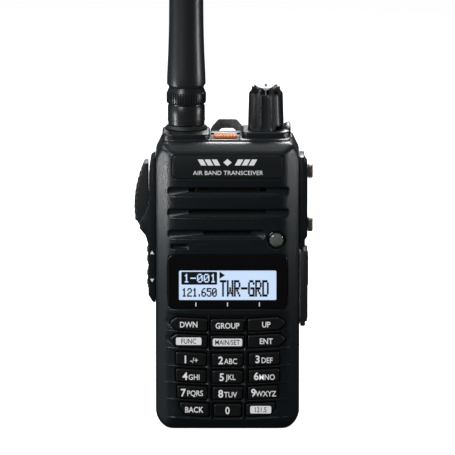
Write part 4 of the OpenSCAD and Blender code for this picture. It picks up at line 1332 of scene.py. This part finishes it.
@dataclass
class Antenna:
    """The screw-on antenna: gasket, sleeve with its knurled ring, and whip."""

    work: Workshop
    centre: Vector = field(default_factory=lambda: Vector((-14.9, 6.6, 0)))
    top: float = 268.0

    def build(self) -> None:
        """Builds the three pieces."""
        bm = bmesh.new()
        lathe(bm, [(3.7, 107.16), (7.4, 107.16), (7.65, 107.4), (7.5, 107.9), (6.9, 108.55), (3.7, 108.58),
                   (3.7, 107.16)], self.centre, Axis.Z, 72)
        self.work.piece(bm, "gasket_ring", "rubber", "seal_ring", ["antenna_gasket"])
        bm = bmesh.new()
        lower = [(5.1, 108.82), (6.4, 108.82), (6.62, 109.0), (6.7, 110.2), (6.86, 110.35), (6.86, 110.7),
                 (6.73, 110.85), (6.76, 113.0), (6.74, 115.55), (6.6, 115.85), (6.3, 115.92), (6.3, 116.4),
                 (6.7, 116.45), (6.9, 116.6)]
        lathe(bm, lower + [(5.1, 116.6)], self.centre, Axis.Z, 96)
        teeth = [(6.4, 6.45, 116.6), (6.82, 7.1, 116.8), (6.86, 7.18, 117.1), (6.86, 7.18, 120.1),
                 (6.78, 7.05, 120.5), (6.4, 6.45, 120.8)]
        wheel(bm, teeth, self.centre, Axis.Z, 46, 0.4)
        upper = [(5.1, 120.7), (6.9, 120.7), (6.8, 121.0), (6.45, 121.9), (6.25, 122.36), (5.1, 122.38)]
        lathe(bm, upper, self.centre, Axis.Z, 96)
        self.work.piece(bm, "sleeve", "sleeve_plastic", "antenna", ["antenna_sleeve"])
        bm = bmesh.new()
        tip = [(5.2 * math.cos(math.radians(a)), self.top - 4 + 3.98 * math.sin(math.radians(a)))
               for a in range(10, 86, 12)]
        profile = [(0.001, 122.52), (6.3, 122.52), (6.5, 122.7), (6.62, 123.1), (6.98, 123.35), (7.03, 123.7),
                   (6.98, 126.4), (6.82, 130.0), (6.6, 134.0), (6.4, 140.0), (6.25, 146.0), (5.85, 190.0),
                   (5.2, self.top - 4)] + tip + [(0.001, self.top - 0.02)]
        lathe(bm, profile, self.centre, Axis.Z, 96)
        self.work.piece(bm, "whip", "whip_rubber", "antenna", ["antenna_whip"])


@dataclass
class VolumeKnob:
    """The knob: thin ribs with wide hollow flutes, and a crown of fins round its hub."""

    work: Workshop
    centre: Point = (13.9, 6.6)
    ribs: int = 7
    rib_half: float = 0.5

    def _ring(self, rib: Point, flute: Point, hollow: float) -> list[Vector]:
        """Gives one ring of the knob.

        Args:
            rib: Radius and height at a rib.
            flute: Radius and height in the middle of a flute.
            hollow: How far the flute's curve is drawn towards its middle, 0 to 1.

        Returns:
            The ring's places.
        """
        sector = math.pi / self.ribs
        edge = math.asin(min(0.9, self.rib_half / rib[0])) * 0.95
        soft = edge * 1.14
        places = []
        for i in range(self.ribs):
            middle = math.pi / 2 + 2 * sector * i
            half = [(0.0, 0.0), (edge, 0.0), (soft, 0.35)]
            for share in (0.1, 0.24, 0.42, 0.62, 0.82):
                eased = 1 - (1 - share) ** 3
                half.append((soft + (sector - soft) * share, 0.35 + 0.65 * (eased * hollow + (1 - hollow))))
            row = [(-a, t) for a, t in reversed(half[1:])] + half + [(sector, 1.0)]
            for angle, t in row:
                radius = rib[0] + (flute[0] - rib[0]) * t
                height = rib[1] + (flute[1] - rib[1]) * t
                turn = middle + angle
                spot = (self.centre[0] + radius * math.cos(turn), self.centre[1] + radius * math.sin(turn))
                places.append(Axis.Z.lift(spot, height))
        return places

    def build(self) -> None:
        """Builds the knob and its pointer."""
        bm = bmesh.new()
        side = [
            ((5.9, 105.62), (5.9, 105.62), 1), ((6.4, 105.64), (6.4, 105.64), 1),
            ((6.56, 105.8), (6.56, 105.8), 1),
            ((6.56, 106.35), (6.56, 106.35), 1), ((6.6, 106.6), (6.1, 106.7), 1),
            ((6.6, 107.3), (5.15, 107.6), 1),
            ((6.56, 109.5), (4.95, 109.5), 1), ((6.42, 114.0), (4.8, 114.0), 1),
            ((6.28, 118.5), (4.7, 118.0), 1),
            ((6.2, 120.2), (4.6, 119.5), 1), ((6.08, 120.5), (4.5, 119.75), 1),
            ((5.9, 120.75), (4.4, 119.85), 0.6),
            ((5.42, 121.2), (4.3, 119.9), 0.3), ((5.2, 121.7), (4.2, 119.92), 0.2),
            ((5.12, 122.6), (4.1, 119.95), 0.1),
            ((5.0, 122.76), (4.0, 119.95), 0.1), ((4.7, 122.66), (3.8, 119.95), 0.0),
            ((3.7, 122.1), (3.4, 119.95), 0.0),
            ((2.8, 121.72), (2.75, 119.95), 0.0), ((2.62, 121.7), (2.62, 121.5), 0.0),
            ((2.4, 121.6), (2.4, 121.6), 0),
            ((1.2, 121.62), (1.2, 121.62), 0),
        ]
        loft(bm, [self._ring(rib, flute, hollow) for rib, flute, hollow in side])
        self.work.piece(bm, "knob_body", "knob_plastic", "knob", ["volume_knob"], 30.0)
        bm = bmesh.new()
        prism(bm, box_path(0.5, 2.4, 0.2, self.centre[0], self.centre[1] - 3.4, 3), Axis.Z, 119.7, 122.3,
            0.05, 0.15)
        self.work.piece(bm, "knob_pointer", "clip_grey", "knob")


# ---- sides ----


@dataclass
class SideControls:
    """The push-to-talk module on the left and the covers on the right."""

    work: Workshop
    half: float = 26.0
    rib_pitch: float = 2.2
    rib_depth: float = 0.6

    def _press_edge(self, z: float) -> float:
        """Gives the outer edge of the push-to-talk button at a height."""
        return -self.half - 7.7 + 0.015 * (z - 80.5) ** 2

    def _talk_button(self) -> None:
        """Builds the ribbed push-to-talk button and its post."""
        bm = bmesh.new()
        path: Path = [(-self.half - 2.5, 96.5), (-self.half - 2.5, 73.9), (-self.half - 5.9, 73.9)]
        z = 75.4
        while z < 92:
            for up, back in ((0.0, 1.0), (0.12, 0.45), (0.35, 0.06), (0.8, 0.0), (1.25, 0.06), (1.48, 0.45),
                    (1.6, 1.0)):
                path.append((self._press_edge(z + up) + self.rib_depth * back, z + up))
            z += self.rib_pitch
        path += [(self._press_edge(93.2), 93.2), (self._press_edge(95.4), 95.4), (-self.half - 4.0, 96.4)]
        prism(bm, path, Axis.Y, -6.6, 3.4, 0.35, 0.35, 3)
        lathe(bm, [(0.001, -28.6), (1.6, -28.6), (1.6, -24.4), (1.5, -24.3), (0.001, -24.3)],
            Vector((0, -2, 84)),
              Axis.X, 32)
        self.work.piece(bm, "talk_button", "rubber", "ptt", ["ptt_button"], 36.0)

    def _side_key(self, node: str, body: str, z: float) -> None:
        """Builds one small side key with two bumps and its post."""
        bm = bmesh.new()
        prism(bm, box_path(7.9, 6.9, 1.2, -2, z), Axis.X, -28.85, -27.85, 0.3, 0.1)
        for dz in (-1.7, 1.7):
            prism(bm, box_path(5.4, 1.6, 0.75, -2, z + dz), Axis.X, -29.15, -28.7, 0.28, 0.05)
        lathe(bm, [(0.001, -27.9), (1.0, -27.9), (1.0, -25.2), (0.001, -25.1)], Vector((0, -2, z)), Axis.X,
            24)
        self.work.piece(bm, node + "_cap", "rubber", body, [node])

    def _marks(self) -> None:
        """Prints the up and down triangles beside the side keys."""
        bm = bmesh.new()
        for z, way in ((64.2, 1), (54.0, -1)):
            tip = [(-27.95, z - 0.55 * way), (-26.55, z - 0.55 * way), (-27.25, z + 0.65 * way)]
            prism(bm, tip if way > 0 else tip[::-1], Axis.Y, -9.24, -9.1, 0.0, 0.0, 1)
        self.work.piece(bm, "side_marks", "legend_ink_painted_glow", "case")

    def _screws(self) -> None:
        """Builds the two ribbed screws of the jack cover, each with a slot."""
        bm = bmesh.new()
        for z in (93.0, 73.4):
            centre = Vector((0, -2, z))
            head = [(2.2, 2.3, 29.0), (2.45, 2.62, 29.15), (2.48, 2.68, 29.4), (2.48, 2.68, 30.4),
                (2.4, 2.55, 30.7),
                    (2.1, 2.15, 30.86), (1.3, 1.3, 30.86), (1.2, 1.2, 30.6)]
            wheel(bm, head, centre, Axis.X, 22, 0.45)
            prism(bm, box_path(2.2, 0.5, 0.1, -2, z, 2), Axis.X, 30.55, 30.82, 0.02, 0.05, 1)
            lathe(bm, [(0.001, 25.9), (1.22, 25.9), (1.22, 29.1), (0.001, 29.1)], centre, Axis.X, 24)
        self.work.piece(bm, "cover_screws", "screw_bronze", "case", ["jack_screws"], 30.0)

    def build(self) -> None:
        """Builds both sides."""
        self._talk_button()
        self._side_key("side_key_upper", "upper_key", 62.6)
        self._side_key("side_key_lower", "lower_key", 54.0)
        self._marks()
        self._screws()


@dataclass
class Remainder:
    """The pieces whose CAD shape is kept, with their edges rounded or as they are."""

    work: Workshop
    soft: tuple[tuple[str, str, float], ...] = (
        ("side_frame", "case", 0.4), ("jack_cover", "case", 0.35), ("rear_chassis", "case", 0.3),
        ("charge_cover", "flap", 0.25), ("battery_latch", "latch", 0.15), ("battery_case", "battery", 0.3),
        ("belt_clip", "clip", 0.35), ("clip_bracket", "battery", 0.2), ("clip_screws", "battery", 0.1),
    )
    back: float = 17.0
    ribs: int = 5
    lowest_rib: float = 7.6
    rib_pitch: float = 2.1

    def _pack_back(self) -> None:
        """Builds the grip ribs and the blank rating panel on the back of the pack."""
        bm = bmesh.new()
        for step in range(self.ribs):
            rib = box_path(34.0, 0.9, 0.4, 0, self.lowest_rib + step * self.rib_pitch, 4)
            prism(bm, rib, Axis.Y, self.back - 0.2, self.back + 0.35, 0.05, 0.25, 2)
        self.work.piece(bm, "pack_ribs", "chassis_paint", "battery")
        bm = bmesh.new()
        prism(bm, box_path(30.0, 9.0, 1.2, 0, 23.4, 6), Axis.Y, self.back - 0.2, self.back + 0.12, 0.02,
            0.06, 2)
        self.work.piece(bm, "pack_panel", "plate_plastic", "battery")

    def build(self) -> None:
        """Softens what shows and dresses every CAD node that is left."""
        self._pack_back()
        for node, body, width in self.soft:
            self.work.soften(node, body, width)
        for name, node in frame["nodes"].items():
            self.work.shop.dress(node, SLOT_OF[name])


# ---- studio ----


@dataclass(frozen=True)
class Lamp:
    """One soft box: where it stands and what it faces, in metres, its size, power, spread and colour."""

    name: str
    at: tuple[float, float, float]
    target: tuple[float, float, float]
    size: Point
    power: float
    spread: float = 180.0
    colour: Colour = (0.97, 0.985, 1.0)


LAMPS = (
    Lamp("bevel_left", (-0.13, -0.03, 0.082), (-0.024, -0.013, 0.10), (0.03, 0.03), 0.055),
    Lamp("side_left", (-0.40, -0.05, 0.06), (0, 0, 0.07), (0.20, 0.30), 0.04, 120.0),
    Lamp("upper_left", (-0.30, 0.0, 0.42), (-0.02, 0, 0.10), (0.14, 0.14), 0.22, 120.0),
    Lamp("overhead", (0.02, 0.08, 0.60), (0, 0, 0.10), (0.25, 0.20), 0.12, 120.0),
    Lamp("front_left", (-0.62, -0.85, 0.60), (0, 0, 0.08), (0.35, 0.45), 2.6, 120.0),
    Lamp("right_rim", (0.22, -0.03, 0.11), (0.02, 0, 0.10), (0.05, 0.06), 0.07, 120.0),
    Lamp("behind", (0.15, 0.85, 0.75), (0, 0, 0.08), (0.50, 0.40), 5.0, 120.0),
)


@dataclass
class Studio:
    """Floor, lamps and camera."""

    shop: FinishShop
    lamps: tuple[Lamp, ...] = LAMPS
    reach: float = 6.0
    aim: Vector = field(default_factory=lambda: Vector((0, FRONT * MM, 0.0744)))
    elevation: float = 10.0
    distance: float = 2.5
    frame_width: float = 0.1638
    sensor: float = 36.0

    def _floor(self) -> None:
        """Builds the pale floor as a wide disc."""
        bm = bmesh.new()
        bmesh.ops.create_circle(bm, cap_ends=True, segments=96, radius=self.reach)
        mesh = bpy.data.meshes.new("floor")
        bm.to_mesh(mesh)
        bm.free()
        floor = bpy.data.objects.new("floor", mesh)
        bpy.context.scene.collection.objects.link(floor)
        material = bpy.data.materials.new("studio_paper")
        material.use_nodes = True
        tree = material.node_tree
        shader = tree.nodes["Principled BSDF"]
        vector = tree.nodes.new("ShaderNodeTexCoord").outputs["Object"]
        grain = self.shop.use(tree, self.shop.groups.grain, vector, Scale=60.0)
        colour = self.shop.blend(tree, grain.outputs["Tone"], (0.90, 0.90, 0.90), (0.88, 0.88, 0.88))
        tree.links.new(colour, shader.inputs["Base Color"])
        shader.inputs["Roughness"].default_value = 0.95
        shader.inputs["Specular IOR Level"].default_value = 0.1
        tree.links.new(colour, shader.inputs["Emission Color"])
        shader.inputs["Emission Strength"].default_value = 1.05
        mesh.materials.append(material)
        floor.visible_glossy = False
        floor.visible_diffuse = False

    def _lamp(self, lamp: Lamp) -> None:
        """Hangs one lamp."""
        data = bpy.data.lights.new(lamp.name, "AREA")
        data.shape = "RECTANGLE"
        data.size, data.size_y = lamp.size
        data.energy = lamp.power
        data.spread = math.radians(lamp.spread)
        data.color = lamp.colour
        holder = bpy.data.objects.new(lamp.name, data)
        at = Vector(lamp.at)
        holder.location = at
        holder.rotation_euler = (Vector(lamp.target) - at).to_track_quat("-Z", "Y").to_euler()
        holder.visible_camera = False
        bpy.context.scene.collection.objects.link(holder)

    def _camera(self) -> None:
        """Sets the camera in front of the case and a little above it."""
        data = bpy.data.cameras.new("camera")
        data.sensor_width = self.sensor
        data.lens = self.sensor * self.distance / self.frame_width
        data.dof.use_dof = False
        camera = bpy.data.objects.new("camera", data)
        tilt = math.radians(self.elevation)
        away = Vector((0, -math.cos(tilt), math.sin(tilt)))
        camera.location = self.aim + away * self.distance
        camera.rotation_euler = (-away).to_track_quat("-Z", "Y").to_euler()
        bpy.context.scene.collection.objects.link(camera)
        bpy.context.scene.camera = camera

    def build(self) -> None:
        """Sets up the studio."""
        self._floor()
        world = bpy.data.worlds.new("studio_world")
        world.use_nodes = True
        sky = world.node_tree.nodes["Background"]
        sky.inputs["Color"].default_value = (0.95, 0.97, 1.0, 1.0)
        sky.inputs["Strength"].default_value = 0.03
        bpy.context.scene.world = world
        bpy.context.scene.view_settings.view_transform = "Standard"
        for lamp in self.lamps:
            self._lamp(lamp)
        self._camera()


def main() -> None:
    """Builds every sub-assembly in order."""
    logging.basicConfig(level=logging.INFO, format="%(name)s: %(message)s")
    shop = FinishShop(FINISHES)
    work = Workshop(shop)
    for part in (FrontCase(work), Keypad(work), Display(work), FrontTrim(work), TopCap(work), Antenna(work),
                 VolumeKnob(work), SideControls(work), Remainder(work), Studio(shop)):
        part.build()
        LOG.info("%s done", type(part).__name__)
    LOG.info("%d pieces made", work.made)


if __name__ == "__main__":
    main()
